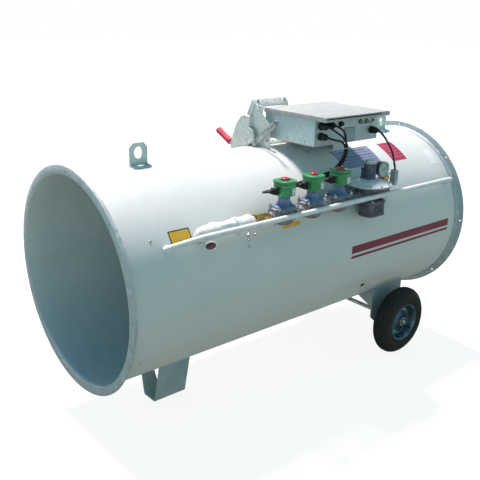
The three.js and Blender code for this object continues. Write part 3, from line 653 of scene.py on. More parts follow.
def refined(name, node, mats, body="root", width=0.8, segments=2, angle=28, extra=None, also=()):
    """A finished copy of a CAD solid whose shape is right: its edges are rounded and its surface gets its finish."""
    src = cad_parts[node]
    me = src.data.copy()
    me.materials.clear()
    for k in ([mats] if isinstance(mats, str) else mats):
        me.materials.append(M[k])
    bm = bmesh.new()
    bm.from_mesh(me)
    bmesh.ops.remove_doubles(bm, verts=bm.verts, dist=2e-6)
    bmesh.ops.dissolve_limit(bm, angle_limit=0.8 * D, verts=bm.verts, edges=bm.edges)
    bmesh.ops.dissolve_degenerate(bm, edges=bm.edges, dist=1e-5)
    edges = [e for e in bm.edges if len(e.link_faces) == 2 and e.calc_face_angle(0) > angle * D]
    if width:
        bmesh.ops.bevel(bm, geom=edges, offset=width / 1000, offset_type="OFFSET", segments=segments, profile=0.5, affect="EDGES", clamp_overlap=True)
    for f in bm.faces:
        f.material_index = 0
    bmesh.ops.recalc_face_normals(bm, faces=bm.faces)
    bm.to_mesh(me)
    bm.free()
    if extra is not None:
        base = len(me.vertices)
        bm = bmesh.new()
        bm.from_mesh(me)
        vs = [bm.verts.new(W(p)) for p in extra.v]
        for f, m in zip(extra.f, extra.m):
            try:
                nf = bm.faces.new([vs[i] for i in f])
                nf.material_index = m
            except ValueError:
                pass
        bmesh.ops.recalc_face_normals(bm, faces=bm.faces)
        bm.to_mesh(me)
        bm.free()
    me.name = name
    me.shade_smooth()
    me.set_sharp_from_angle(angle=30 * D)
    ob = bpy.data.objects.new(name, me)
    bpy.context.scene.collection.objects.link(ob)
    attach(ob, body)
    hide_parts(node, *also)
    made[name] = ob
    return ob


def spline(pts, per=5):
    """A smooth line through the points."""
    p = [Vector(q) for q in pts]
    p = [p[0] * 2 - p[1]] + p + [p[-1] * 2 - p[-2]]
    out = []
    for i in range(1, len(p) - 2):
        for k in range(per):
            t = k / per
            a, b, c, d = p[i - 1], p[i], p[i + 1], p[i + 2]
            out.append(0.5 * ((2 * b) + (c - a) * t + (2 * a - 5 * b + 4 * c - d) * t * t + (3 * b - a - 3 * c + d) * t ** 3))
    out.append(p[-2].copy())
    return out


# ------------------------------------------------------------------ cables
CABLES = {
    "valve_cable_1": [(921, -304.3, 458), (921, -313, 458), (940.4, -317.8, 451.4), (960.7, -319.5, 446.1), (981.2, -319, 441.2), (999.3, -319.2, 430.6), (1008.5, -319.2, 412.3), (1006.6, -319, 391.4), (998.4, -318.1, 372.2), (984.5, -317.4, 356.4), (967.5, -316.8, 344), (948.7, -316.2, 334.7), (928.6, -315.5, 328.3), (908.1, -314.3, 323.7), (887.7, -311.3, 319.4), (867.2, -307.7, 315.8), (846.5, -305.5, 312.7), (825.6, -304.1, 310), (804.7, -303.2, 307.5), (783.8, -302.6, 305.2), (762.8, -302.7, 303.2), (741.8, -303.2, 301.6), (720.8, -304.4, 300.6), (699.9, -306, 300), (678.8, -307.8, 299.7), (657.8, -309.8, 299.7), (636.9, -312.4, 300.1), (616, -315.2, 300.7), (595.9, -320.9, 302.3), (578.3, -332, 305.3), (568.9, -349.6, 310.6), (575.7, -368, 315), (581.7, -368, 315), (587.7, -368, 315)],
    "valve_cable_2": [(959, -304.3, 500), (959, -313, 500), (976.8, -317.7, 491.3), (992.9, -320.3, 479.3), (1005, -319.4, 463), (1011.2, -319, 443.8), (1014.7, -319.2, 423.9), (1018.5, -319.3, 404.1), (1014.6, -318.8, 384.2), (1005.8, -318.1, 365.9), (992.4, -317.5, 350.6), (976.3, -316.9, 338.1), (958.4, -316.3, 328.5), (939.7, -316, 320.3), (920.5, -316, 313.4), (900.8, -316, 308.1), (880.7, -316.2, 305.3), (860.3, -316.5, 303.9), (839.9, -316.9, 303.4), (819.5, -317.4, 303.6), (799.1, -318, 304), (778.8, -318.6, 304.6), (758.4, -319.7, 305.4), (738.3, -322.7, 306.6), (718.7, -327.9, 308.2), (703.6, -340.7, 311.6), (701.4, -359.8, 314.7), (718.7, -368, 315), (724.7, -368, 315), (730.7, -368, 315)],
    "valve_cable_3": [(920, -304.3, 498), (920, -313, 498), (934.6, -320.5, 488.3), (949.5, -326.8, 478.4), (965.3, -329.9, 468.3), (980.9, -331, 457.6), (994.8, -330, 444.6), (1006.7, -327.8, 430), (1013.4, -327.6, 412.4), (1012.1, -327.5, 393.5), (1005.9, -326.7, 375.6), (995, -326.1, 360.1), (981, -325.6, 347.2), (965.1, -324.9, 336.9), (947.7, -324.6, 329.2), (929.3, -324.8, 324.6), (910.5, -325.8, 321.7), (891.9, -329, 319.8), (873.9, -335.1, 319), (857.6, -344.7, 317.7), (846.8, -359.9, 315.9), (861.7, -368, 315), (867.7, -368, 315), (873.7, -368, 315)],
    "switch_cable": [(1217, -304.3, 458), (1217, -312, 458), (1225.3, -316.1, 449.7), (1233.5, -320.2, 441.2), (1240.9, -323.9, 431.9), (1247.8, -327.1, 422), (1254, -330.6, 411.7), (1259.3, -334.9, 401.3), (1263.5, -339.8, 390.6), (1266, -345.2, 379.7), (1266.4, -350.5, 368.4), (1265.2, -356, 357.3), (1263.1, -361.8, 346.4), (1259.4, -368.3, 336.4), (1254.8, -375, 327), (1253, -380, 316), (1253, -380, 308.4)],
}
VALVE_X, TY, TZ = (648, 791, 934), -368, 222
for number, (node, pts) in enumerate(CABLES.items()):
    line = spline(pts, 4)
    cv = bpy.data.curves.new(node + "_flex", "CURVE")
    cv.dimensions = "3D"
    sp = cv.splines.new("POLY")
    sp.points.add(len(line) - 1)
    for q, p in zip(sp.points, line):
        q.co = (*W(p), 1)
    cv.bevel_depth, cv.bevel_resolution, cv.use_fill_caps = 0.004, 5, True
    cv.materials.append(M["jacket"])
    ob = bpy.data.objects.new(node + "_flex", cv)
    bpy.context.scene.collection.objects.link(ob)
    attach(ob, "root")
    made[node] = ob
    if number < 3:      # the moulded plug that the lead ends in, on the coil housing
        x = VALVE_X[number] - 35 * 1.03 - 0.3
        g = Geo()
        g.box(x - 22, x, TY - 11, TY + 11, 303, 326, 0, 1.6, plane="x")
        g.box(x - 3.2, x - 0.1, TY - 12.6, TY + 12.6, 301.6, 327.4, 0, 0.9, plane="x")
        g.lathe([(-22.4, 0), (-22.4, 9.4), (-24, 9.4), (-24, 7.4), (-26, 8.6), (-27.4, 7.2), (-29.2, 8.2), (-30.6, 6.9), (-32.6, 7.6), (-34.5, 6.3), (-34.5, 0)], "x", (x, TY, 315), 24)
        g.lathe([(326.3, 0), (326.3, 3.6), (328.2, 3.6), (328.2, 2.2), (328.2, 0)], "z", (x - 11, TY, 0), 16, 1, r=0.4)
        g.tube([(x - 16, TY - 11.3, 308), (x - 16, TY - 11.3, 321)], 0.7, 6)
        g.tube([(x - 8, TY - 11.3, 308), (x - 8, TY - 11.3, 321)], 0.7, 6)
        plug = make("valve_plug_%d" % (number + 1), g, ["black", "bolt"])
    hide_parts(node)

# white nylon tie round the three leads
g = Geo()
pts = []
for k in range(40):
    t = 2 * math.pi * k / 40
    pts.append((1013.0 + math.cos(t) * 10.6, -321.6 + math.sin(t) * 10.6, 414.5 + math.cos(t) * 1.6))
g.tube(pts, 1.1, 8, closed=True, squash=2.4)
g.box(1019.5, 1026, -330.5, -325, 412.6, 418.4, 0, 0.8)
g.tube([(1023, -329, 415.5), (1028, -336, 413), (1030, -342, 407)], 1.1, 8, cap=0.4, squash=1.6)
make("bundle_tie", g, "tie")

# ------------------------------------------------------------------ casing and flanges
g = Geo()
SEG = 240
bead = [(1729.5, R), (1731, R + 0.9), (1732.6, R + 1.5), (1734.4, R + 1.5), (1736, R + 0.9), (1737.5, R)]
outerp = [(0.2, R - 0.4), (0.8, R)] + [(x, R) for x in range(60, 1700, 82)] + bead + [(1768.6, R), (1769.2, R - 0.4)]
innerp = [(1769.2, RI + 0.3), (1768.6, RI)] + [(x, RI) for x in range(1700, 40, -82)] + [(0.8, RI), (0.2, RI + 0.3)]
prof = outerp + innerp
mats = [0] * len(outerp) + [1] * len(innerp)
g.lathe(prof, "x", (0, 0, 0), SEG, mats, closed=True)
make("casing", g, ["casing", "inner"], replaces="casing_shell", angle=50)


def flange(name, node, face, d):
    def x(v):
        return face + d * v
    g = Geo()
    prof = [(x(0.0), R + 0.6), (x(0.0), RF - 0.9), (x(0.5), RF - 0.2), (x(1.2), RF), (x(2.6), RF), (x(3.3), RF - 0.4), (x(3.5), RF - 1.2), (x(3.5), R + 8.2),
            (x(3.9), R + 6.2), (x(5.2), R + 4.6), (x(7.5), R + 3.8), (x(25.2), R + 3.8), (x(26), R + 3.2), (x(26), R + 0.4), (x(2), R + 0.4)]
    g.lathe(prof, "x", (0, 0, 0), 200, 0, closed=True)
    cut = Geo()
    for i in range(8):
        a = i * math.pi / 4
        cut.lathe([(-10, 0), (-10, 4.5), (12, 4.5), (12, 0)], "x", (face, 395 * math.sin(a), 395 * math.cos(a)), 20)
    make(name, g, ["flange"], replaces=node, angle=40, cut=cut)
    g = Geo()          # spot welds along the lip, the lap of the rolled ring, and drilling burrs round the holes
    for i in range(40):
        a = (i + 0.5) * math.pi / 20
        p = (x(15), math.sin(a) * (R + 3.7), math.cos(a) * (R + 3.7))
        g.lathe([(-0.3, 0), (-0.3, 3.4), (0.35, 2.9), (0.5, 1.6), (0.25, 0)], (0, math.sin(a), math.cos(a)), p, 12)
    for i in range(8):
        a = i * math.pi / 4
        g.ring("x", (x(-0.0), 395 * math.sin(a), 395 * math.cos(a)), 4.9, 0.42, 20, 6)
    a = 171 * D
    g.weld([(x(3.9), math.sin(a) * (R + 8), math.cos(a) * (R + 8)), (x(3.6), math.sin(a) * (RF - 1), math.cos(a) * (RF - 1))], 1.4)
    g.weld([(x(5.5), math.sin(a) * (R + 4.1), math.cos(a) * (R + 4.1)), (x(25), math.sin(a) * (R + 3.9), math.cos(a) * (R + 3.9))], 1.2)
    make(name + "_welds", g, ["flange"])


flange("outlet_ring", "outlet_flange", 0, 1)
flange("inlet_ring", "inlet_flange", L, -1)

# coloured plates on the casing, all blank
make("yellow_plate", plate_on_casing(192, 275, 53.3, 61.4, 1, 0, 0.5, 4.0), ["yellow", "ink"])
make("yellow_strip", plate_on_casing(670, 757, 63.1, 65.6, 0, 0, 0.4), ["yellow"])
make("red_plate", plate_on_casing(1425, 1521, 21.5, 39.2, 1, 0, 0.4, 2.2), ["red", "cap"])
g = Geo()
for t0 in (25.4, 28.0, 30.6, 33.2, 35.8):
    g.merge(plate_on_casing(1433, 1513, t0, t0 + 0.35, 0, 0, 0.75, nx=16, nt=2))
make("red_plate_rules", g, ["pink"])
make("white_plate", plate_on_casing(1660, 1712, 34.0, 47.4, 1, 0, 0.4, 1.6), ["paper", "casing"])
make("rating_plate", plate_on_casing(1118, 1350, 21.6, 38.4, 1, 0, 0.5, 3.0), ["plate", "maroon"])
g = Geo()
for t0 in (24.0, 26.6, 29.2, 31.8, 34.4, 36.6):
    g.merge(plate_on_casing(1126 if t0 > 24 else 1150, 1342 if t0 > 24 else 1318, t0, t0 + (0.55 if t0 in (24.0, 29.2) else 0.3), 0, 0, 0.9, nx=30, nt=2))
g.merge(plate_on_casing(1252, 1253.6, 29.8, 36.5, 0, 0, 0.9, nx=2, nt=12))
make("rating_plate_rules", g, ["maroon"])
# two plain stripes along the side
g = Geo()
g.merge(plate_on_casing(1026, 1690, 86.6, 91.4, 0, 0, 0.35, nx=60, nt=10))
g.merge(plate_on_casing(1026, 1690, 93.0, 94.6, 0, 0, 0.35, nx=60, nt=5))
make("side_stripes", g, ["maroon"])

# small sight port, screws, drain and welds on the casing
g = Geo()
g.on_casing(338, 65.2 * D, 29, 15.5, [(1, -0.6, 0), (1, 2.2, 0), (0.95, 3.0, 0), (0.8, 3.0, 0), (0.76, 2.0, 0), (0.74, 1.6, 1), (0.5, 2.0, 1), (0.25, 2.3, 1), (0, 2.4, 1)], 2.0, 64)
make("sight_port", g, ["white", "glassy"])
g = Geo()
for x, t in ((505, 64.2), (536.5, 64.8), (501.6, 66.9), (500.1, 70.1)):
    n = Vector((0, -math.sin(t * D), math.cos(t * D)))
    g.bolt((x, n.y * R, n.z * R), n, 8.5, 3.4, 0, washer=1.2)
for x, t in ((121, 56), (60, 120), (1100, 12), (1300, 12)):
    n = Vector((0, -math.sin(t * D), math.cos(t * D)))
    g.screw((x, n.y * R, n.z * R), n, 4.0, 2.2, 0)
make("casing_screws", g, ["bolt", "hole"])
g = Geo()
g.on_casing(1179.4, 121.5 * D, 11, 11, [(1, -0.5, 0), (1, 1.0, 0), (0.9, 1.5, 0), (0.66, 1.5, 0), (0.6, 0.9, 1), (0.4, 0.5, 1), (0, 0.45, 1)], 2.0, 32)
make("drain_grommet", g, ["black", "hole"])
g = Geo()
z0 = -math.sqrt(R * R - 100)
for y0, y1 in ((-10, -10),):
    g.weld([(30, 0, -R - 0.2), (1738, 0, -R - 0.2)], 1.3, step=6)
make("casing_seam", g, ["casing"])

# ------------------------------------------------------------------ leg, brackets, wheels
def strap(line, t, rad, n=5):
    mid = filleted([Vector(p) for p in line], rad, n, closed=False)
    left, right = [], []
    for i, p in enumerate(mid):
        a = mid[max(i - 1, 0)]
        b = mid[min(i + 1, len(mid) - 1)]
        d = (b - a).normalized()
        nrm = Vector((-d.y, d.x))
        left.append(p + nrm * t / 2)
        right.append(p - nrm * t / 2)
    return left + right[::-1]


g = Geo()
top = -371.4
leg = strap([(-82.0, top), (-38, GROUND + 2.5), (38, GROUND + 2.5), (82.0, top)], 5.0, 9)
g.prism(leg, "x", 301, 446, 0, 0.7)
slant = [(341, -340), (341, -372), (372.5, GROUND + 8), (460, GROUND + 8), (460, -340)]
wedge = Geo().put([(x, y, z) for y in (12, 110) for x, z in slant],
                  [(4, 3, 2, 1, 0), (5, 6, 7, 8, 9)] + [(i, (i + 1) % 5, 5 + (i + 1) % 5, 5 + i) for i in range(5)])
make("front_leg_strap", g, ["frame"], replaces="front_leg", cut=wedge)
g = Geo()
for s, end in ((-1, 444), (1, 339)):
    g.weld([(303, s * 85.6, -371.6), (end, s * 85.6, -371.6)], 3.2)
    g.weld([(303, s * 78.6, -373.0), (end, s * 78.6, -373.0)], 2.6)
make("leg_welds", g, ["weld"])

for s, tag in ((-1, "near"), (1, "far")):
    refined("wheel_plate_" + tag, "wheel_bracket_" + tag, ["frame", "weld"], width=0.9)
    g = Geo()
    yw = s * 268.6
    zc = -math.sqrt(R * R - 267 ** 2) - 0.6
    g.weld([(1336, yw, zc), (1538, yw, zc)], 3.0)
    g.lathe([(0, 11.2), (0, 19), (s * 5, 19), (s * 5, 11.2)], "y", (1425, s * 267.2, -424.7), 32, 1, closed=True)
    make("wheel_plate_weld_" + tag, g, ["weld", "steel"])

g = Geo()
ax = (1425, 0, -424.7)
g.lathe([(-387.6, 0), (-387.6, 6.5), (-386.4, 9.0), (-385.4, 9.5), (385.4, 9.5), (386.4, 9.0), (387.6, 6.5), (387.6, 0)], "y", ax, 32)
for s in (-1, 1):
    g.lathe([(s * 382.0, 9.4), (s * 382.0, 15), (s * 383.2, 15.4), (s * 384.6, 15.0), (s * 385.0, 12.6), (s * 385.4, 9.4)], "y", ax, 32, 1)
    g.lathe([(s * 387.5, 0), (s * 387.5, 3.0), (s * 387.8, 2.4), (s * 386.0, 0.6), (s * 386.0, 0)], "y", ax, 16, 1)
    y = s * 383.7
    g.tube([(1425 - 17, y, -424.7 + 3), (1425 - 15.6, y, -424.7 + 9), (1425 - 5, y, -424.7 + 15.6), (1425 + 8, y, -424.7 + 15.2), (1425 + 16.4, y, -424.7 + 6)], 1.3, 8, cap=0.5)
make("axle_bar", g, ["steel", "hole"], replaces="axle")


def tyre_mod(side):
    c = side * 352

    def f(a, r, t):
        x = a - c
        if r < 143:
            return r
        edge = abs(x)
        for gx in (-13.5, 13.5):
            if abs(x - gx) < 1.9:
                return r - 3.2
        if edge < 2.2:
            return r - 2.8
        k = (t * 44 / (2 * math.pi) + x * 0.02) % 1.0
        if edge > 17 and k < 0.22:
            return r - 3.0 * min(1.0, (edge - 17) / 3)
        if 4 < edge < 12 and ((t * 44 / (2 * math.pi) + 0.5 + x * 0.04) % 1.0) < 0.16:
            return r - 1.9
        return r
    return f


for s, tag in ((-1, "near"), (1, "far")):
    c = s * 352
    g = Geo()
    half = [(0, 156), (1.9, 156), (2.4, 155.9), (6, 155.8), (9.4, 155.5), (9.9, 155.4), (13.3, 154.0), (13.8, 153.8), (17, 152.0), (20, 149.8), (23, 147.2), (26, 144.2), (29, 140.6), (31.8, 136.8), (34, 133.6), (36, 129.8),
            (37.6, 126.2), (38.9, 122.6), (39.4, 121.0), (39.9, 119.6), (40, 118.6), (39.9, 117.6), (39.2, 116.9), (39.4, 113.6), (39.3, 110.0), (39.0, 106.6), (38.4, 103.4), (38.2, 101.8), (37.6, 101.0), (36.9, 101.0), (36.7, 98.2), (36.6, 95.0), (36.5, 91.0), (36.4, 88.4), (36.2, 87.3)]
    prof = [(c + a, r) for a, r in half] + [(c - a, r) for a, r in reversed(half[1:])]
    g.lathe(prof, "y", ax, 352, 0, closed=True, mod=tyre_mod(s))
    make("tyre_rubber_" + tag, g, ["tyre"], body=tag + "_wheel", replaces="tyre_" + tag, angle=30)
    o = s
    g = Geo()
    out = [(-58, 9.9), (-58, 20.6), (-56.8, 22), (-15, 22), (-13.4, 23.2), (-11.6, 28), (-7.6, 40), (-6.2, 44), (-5.4, 52), (-6.2, 60), (-8.4, 65.5), (-13, 69.6), (-24, 75.4), (-32.4, 78.8), (-35.6, 81.8), (-36.4, 85.0), (-36.2, 86.7), (-33.8, 86.9),
           (-31.8, 84.4), (-26, 82.6), (26, 82.6), (31.8, 84.4), (33.8, 86.9), (36.2, 86.7), (36.6, 84.8), (35.4, 81.6), (32.0, 78.4), (24, 75.0), (9, 71.4), (4.4, 68.8), (2.6, 64.6), (2.2, 58), (3.4, 50), (4.8, 44), (8.6, 36), (14.8, 27.4), (18, 23.6), (21, 22), (26.2, 22), (28, 20.4), (28, 9.9)]
    g.lathe([(c + o * a, r) for a, r in out], "y", ax, 96, 0, closed=True)
    for k in range(4):
        t = (k + 0.35) * math.pi / 2
        p = (1425 + 55 * math.sin(t), c + o * 2.4, -424.7 + 55 * math.cos(t))
        g.bolt(p, (0, o, 0), 11, 5, 1, washer=1.2, stud=4, start=t)
    for k in range(24):
        t = k * math.pi / 12 + 0.1
        p = (1425 + 82.0 * math.sin(t), c + o * 35.2, -424.7 + 82.0 * math.cos(t))
        if k % 6 == 0:
            g.lathe([(-0.5, 0), (-0.5, 2.2), (0.6, 1.6), (0.6, 0)], (0, o, 0), p, 10, 1)
    t = 2.3
    q = Vector((1425 + 74 * math.sin(t), c + o * 6, -424.7 + 74 * math.cos(t)))
    g.lathe([(-4, 0), (-4, 5.2), (3, 5.2), (5, 3.8), (17, 3.2), (17.4, 4), (23.5, 4), (24.6, 3.0), (24.6, 0)], (0.12, o, 0.1), q, 18, 2)
    g.lathe([(28.0, 10.0), (28.0, 19.4), (29.0, 19.0), (29.4, 17.0), (29.4, 10.0)], "y", (1425, c if o > 0 else c, -424.7), 32, 1, closed=True) if o > 0 else \
        g.lathe([(-28.0, 10.0), (-28.0, 19.4), (-29.0, 19.0), (-29.4, 17.0), (-29.4, 10.0)], "y", (1425, c, -424.7), 32, 1, closed=True)
    make("rim_disc_" + tag, g, ["rim", "bolt", "black"], body=tag + "_wheel", replaces="rim_" + tag)

# ------------------------------------------------------------------ guard rail and lifting eyes
RY, RZ = -423, 229
rl = math.hypot(RY, RZ)
e0 = (RY / rl, RZ / rl)
g = Geo()
ends = filleted([Vector((162, e0[0] * 380.0, e0[1] * 380.0)), Vector((241, RY, RZ)), Vector((1612, RY, RZ)), Vector((1696, e0[0] * 380.0, e0[1] * 380.0))], 44, 8, closed=False)
g.tube(ends, 10, 28)
make("rail_bar", g, ["white"], replaces="guard_rail", angle=60)
g = Geo()
for x, d in ((170, -1), (1688, 1)):
    pts = []
    for k in range(25):
        t = 2 * math.pi * k / 24
        th = 61.6 * D + 11 * math.cos(t) / R
        pts.append((x - d * 4 + 14.5 * math.sin(t), -math.sin(th) * (R + 0.6), math.cos(th) * (R + 0.6)))
    g.weld(pts, 2.4, step=2.4)
make("rail_welds", g, ["white"])


def eye(name, node, x0, hx, hz, rx, rz, z1=459.0):
    x1 = x0 + 72
    N = 72
    outl = filleted([Vector(p) for p in ((x0, 382), (x1, 382), (x1, z1 - 17), (x1 - 15, z1), (x0 + 15, z1), (x0, z1 - 17))], 3.0, 3)
    def ray(t):
        d = Vector((math.cos(t), math.sin(t)))
        best = None
        for i in range(len(outl)):
            a, b = outl[i - 1], outl[i]
            e = b - a
            den = d.x * e.y - d.y * e.x
            if abs(den) < 1e-9:
                continue
            w = a - Vector((hx, hz))
            k = (w.x * e.y - w.y * e.x) / den
            s = (w.x * d.y - w.y * d.x) / den
            if k > 0 and -1e-6 <= s <= 1 + 1e-6 and (best is None or k < best):
                best = k
        return Vector((hx, hz)) + d * best
    angs = sorted([2 * math.pi * k / N for k in range(N)] + [math.atan2(p.y - hz, p.x - hx) % (2 * math.pi) for p in outl])
    ang = [angs[0]]
    for a in angs[1:]:
        if a - ang[-1] > 0.004:
            ang.append(a)
    outer = [ray(a) for a in ang]
    inner = [Vector((hx + rx * math.cos(a), hz + rz * math.sin(a))) for a in ang]
    n = len(ang)
    loops = []
    for y, d in ((-19, 0.9), (-18.1, 0.0), (-11.9, 0.0), (-11, 0.9)):
        loops.append((y, [p + (Vector((hx, hz)) - p).normalized() * d for p in outer], [p + (p - Vector((hx, hz))).normalized() * d for p in inner]))
    verts = []
    for y, o_, i_ in loops:
        verts += [(p.x, y, p.y) for p in o_] + [(p.x, y, p.y) for p in i_]
    faces = []
    for k in range(n):
        k2 = (k + 1) % n
        for l in range(3):
            a, b = l * 2 * n, (l + 1) * 2 * n
            faces.append((a + k, a + k2, b + k2, b + k))
            faces.append((a + n + k, b + n + k, b + n + k2, a + n + k2))
        faces.append((k, n + k, n + k2, k2))
        b = 3 * 2 * n
        faces.append((b + k, b + k2, b + n + k2, b + n + k))
    g = Geo().put(verts, faces)
    # curved foot that the plate stands on
    foot, ny = [], 14
    for r_, e in ((R + 0.3, 0.0), (R + 5.2, 0.0), (R + 6, 1.0)):
        row = []
        for k in range(ny + 1):
            y = -47 + e + (35 - e) * k / ny
            row.append((y, math.sqrt(r_ * r_ - y * y)))
        foot.append((e, row))
    verts, faces = [], []
    xs = (x0, x1)
    for e, row in foot:
        for xx in (xs[0] + e, xs[1] - e):
            verts += [(xx, y, z) for y, z in row]
    m = ny + 1
    for k in range(ny):
        faces.append((k, k + 1, m + k + 1, m + k))
        a = 4 * m
        faces.append((a + k, a + m + k, a + m + k + 1, a + k + 1))
        for l in range(2):
            b, c2 = l * 2 * m, (l + 1) * 2 * m
            faces.append((b + k, c2 + k, c2 + k + 1, b + k + 1))
            faces.append((b + m + k, b + m + k + 1, c2 + m + k + 1, c2 + m + k))
    for l in range(2):
        b, c2 = l * 2 * m, (l + 1) * 2 * m
        faces.append((b, b + m, c2 + m, c2))
        faces.append((b + m - 1, c2 + m - 1, c2 + 2 * m - 1, b + 2 * m - 1))
    g.put(verts, faces)
    make(name, g, ["eye"], replaces=node)
    g = Geo()
    zz = math.sqrt((R + 6) ** 2 - 19 ** 2)
    g.weld([(x0 + 2, -20.4, zz + 0.6), (x1 - 2, -20.4, zz + 0.6)], 2.2)
    zz = math.sqrt(R * R - 11 ** 2)
    g.weld([(x0 + 1, -9.8, zz + 1.6), (x1 - 1, -9.8, zz + 1.6)], 2.6)
    make(name + "_welds", g, ["eye"])


eye("front_eye_plate", "front_lifting_eye", 234, 269, 428, 17, 21, 463.0)
eye("rear_eye_plate", "rear_lifting_eye", 1562, 1599, 424, 12, 18)


# ------------------------------------------------------------------ gas train
PIPE_A = -39 * D
pd = Vector((0, math.cos(PIPE_A), math.sin(PIPE_A)))
g = Geo()
q = (0, TY, TZ)
g.lathe([(302, 0), (302, 23.2), (322, 23.2), (324, 24), (325.6, 27.4), (327, 28.6), (336, 28.6), (338, 27), (338, 0)], "x", q, 48)
g.lathe([(-24.6 * math.cos(k * 7.5 * D), 24.6 * math.sin(k * 7.5 * D)) for k in range(25)], "x", (302, TY, TZ), 40)
g.lathe([(0, 0), (0, 22.6), (12, 22.6), (13.6, 25.4), (15, 26.6), (24, 26.6), (26, 25), (26, 0)], pd, (302, TY, TZ), 40)
g.lathe([(25.6, 0), (25.6, 17.2), (46, 17.2), (46, 0)], pd, (302, TY, TZ), 32)
u0 = Vector((1, 0, 0))
w0 = pd.cross(u0)
pts = []
for k in range(33):
    a = 2 * math.pi * k / 32
    e = u0 * math.cos(a) + w0 * math.sin(a)
    p0 = Vector((302, TY, TZ)) + e * 19.5
    bb, cc = p0.y * pd.y + p0.z * pd.z, p0.y ** 2 + p0.z ** 2 - (R + 1) ** 2
    pts.append(p0 + pd * (-bb - math.sqrt(bb * bb - cc)))
g.weld(pts, 2.6)
make("pipe_elbow", g, ["white"], replaces="gas_elbow", angle=50)

g = Geo()
c = (0, TY, TZ)
g.lathe([(338.3, 0), (338.3, 19), (339, 21), (345, 21), (346, 24.2), (348, 25), (360, 25), (362, 24.2), (386, 24.2), (388, 25), (400, 25), (402, 24.2), (403, 21), (417, 21), (418, 27), (420, 29), (429, 29), (431, 27.6),
         (433, 25.4), (440, 25.8), (452, 26.0), (464, 25.8), (472, 25.4), (474, 27.4), (476, 29), (485, 29), (487, 27.2), (488, 21), (499, 21), (500, 19), (500, 0)], "x", c, 48)
g.lathe([(-36, 0), (-36, 15), (-35, 17), (-29, 17), (-28, 22), (-27, 24), (-18, 24), (-16, 23), (0, 23), (0, 0)], "z", (452, TY, TZ), 40)
g.lathe([(-36.2, 0), (-36.2, 8), (-35.5, 8.4), (-35.5, 0)], "z", (452, TY, TZ), 4, start=0.8)
for a in (349, 354, 394, 399):
    g.ring("x", (a, TY, TZ), 25.0, 0.7, 40, 6)
for k in range(8):
    t = k * math.pi / 4
    g.tube([(350, TY + 25.2 * math.sin(t), TZ + 25.2 * math.cos(t)), (398, TY + 25.2 * math.sin(t), TZ + 25.2 * math.cos(t))], 1.5, 6, cap=0.5)
make("pipe_tee", g, ["white"], replaces="gas_tee", angle=40)

g = Geo()
prof = [(500.3, 0), (500.3, 16)]
x = 501.0
while x < 510.5:
    prof += [(x, 17.0), (x + 1.0, 15.8), (x + 2.0, 17.0)]
    x += 2.2
prof += [(512, 17), (512, 0)]
g.lathe(prof, "x", c, 40)
g.lathe([(512, 0), (512, 23), (514, 27), (536, 27), (538, 23.4), (538, 0)], "x", c, 6, start=0.4)
g.lathe([(538, 0), (538, 17.6), (541, 17.6), (541, 0)], "x", c, 40)
g.lathe([(541, 0), (541, 19.4), (542.6, 21.4), (560, 21.4), (562, 19.4), (562, 0)], "x", c, 8, start=0.1)
prof, x = [(562, 0), (562, 15.6)], 562.4
while x < 575:
    prof += [(x, 16.8), (x + 1.0, 15.6), (x + 2.0, 16.8)]
    x += 2.2
prof += [(576.3, 16), (576.3, 0)]
g.lathe(prof, "x", c, 40)
make("brass_fitting", g, ["brass"], replaces="brass_union", angle=26)

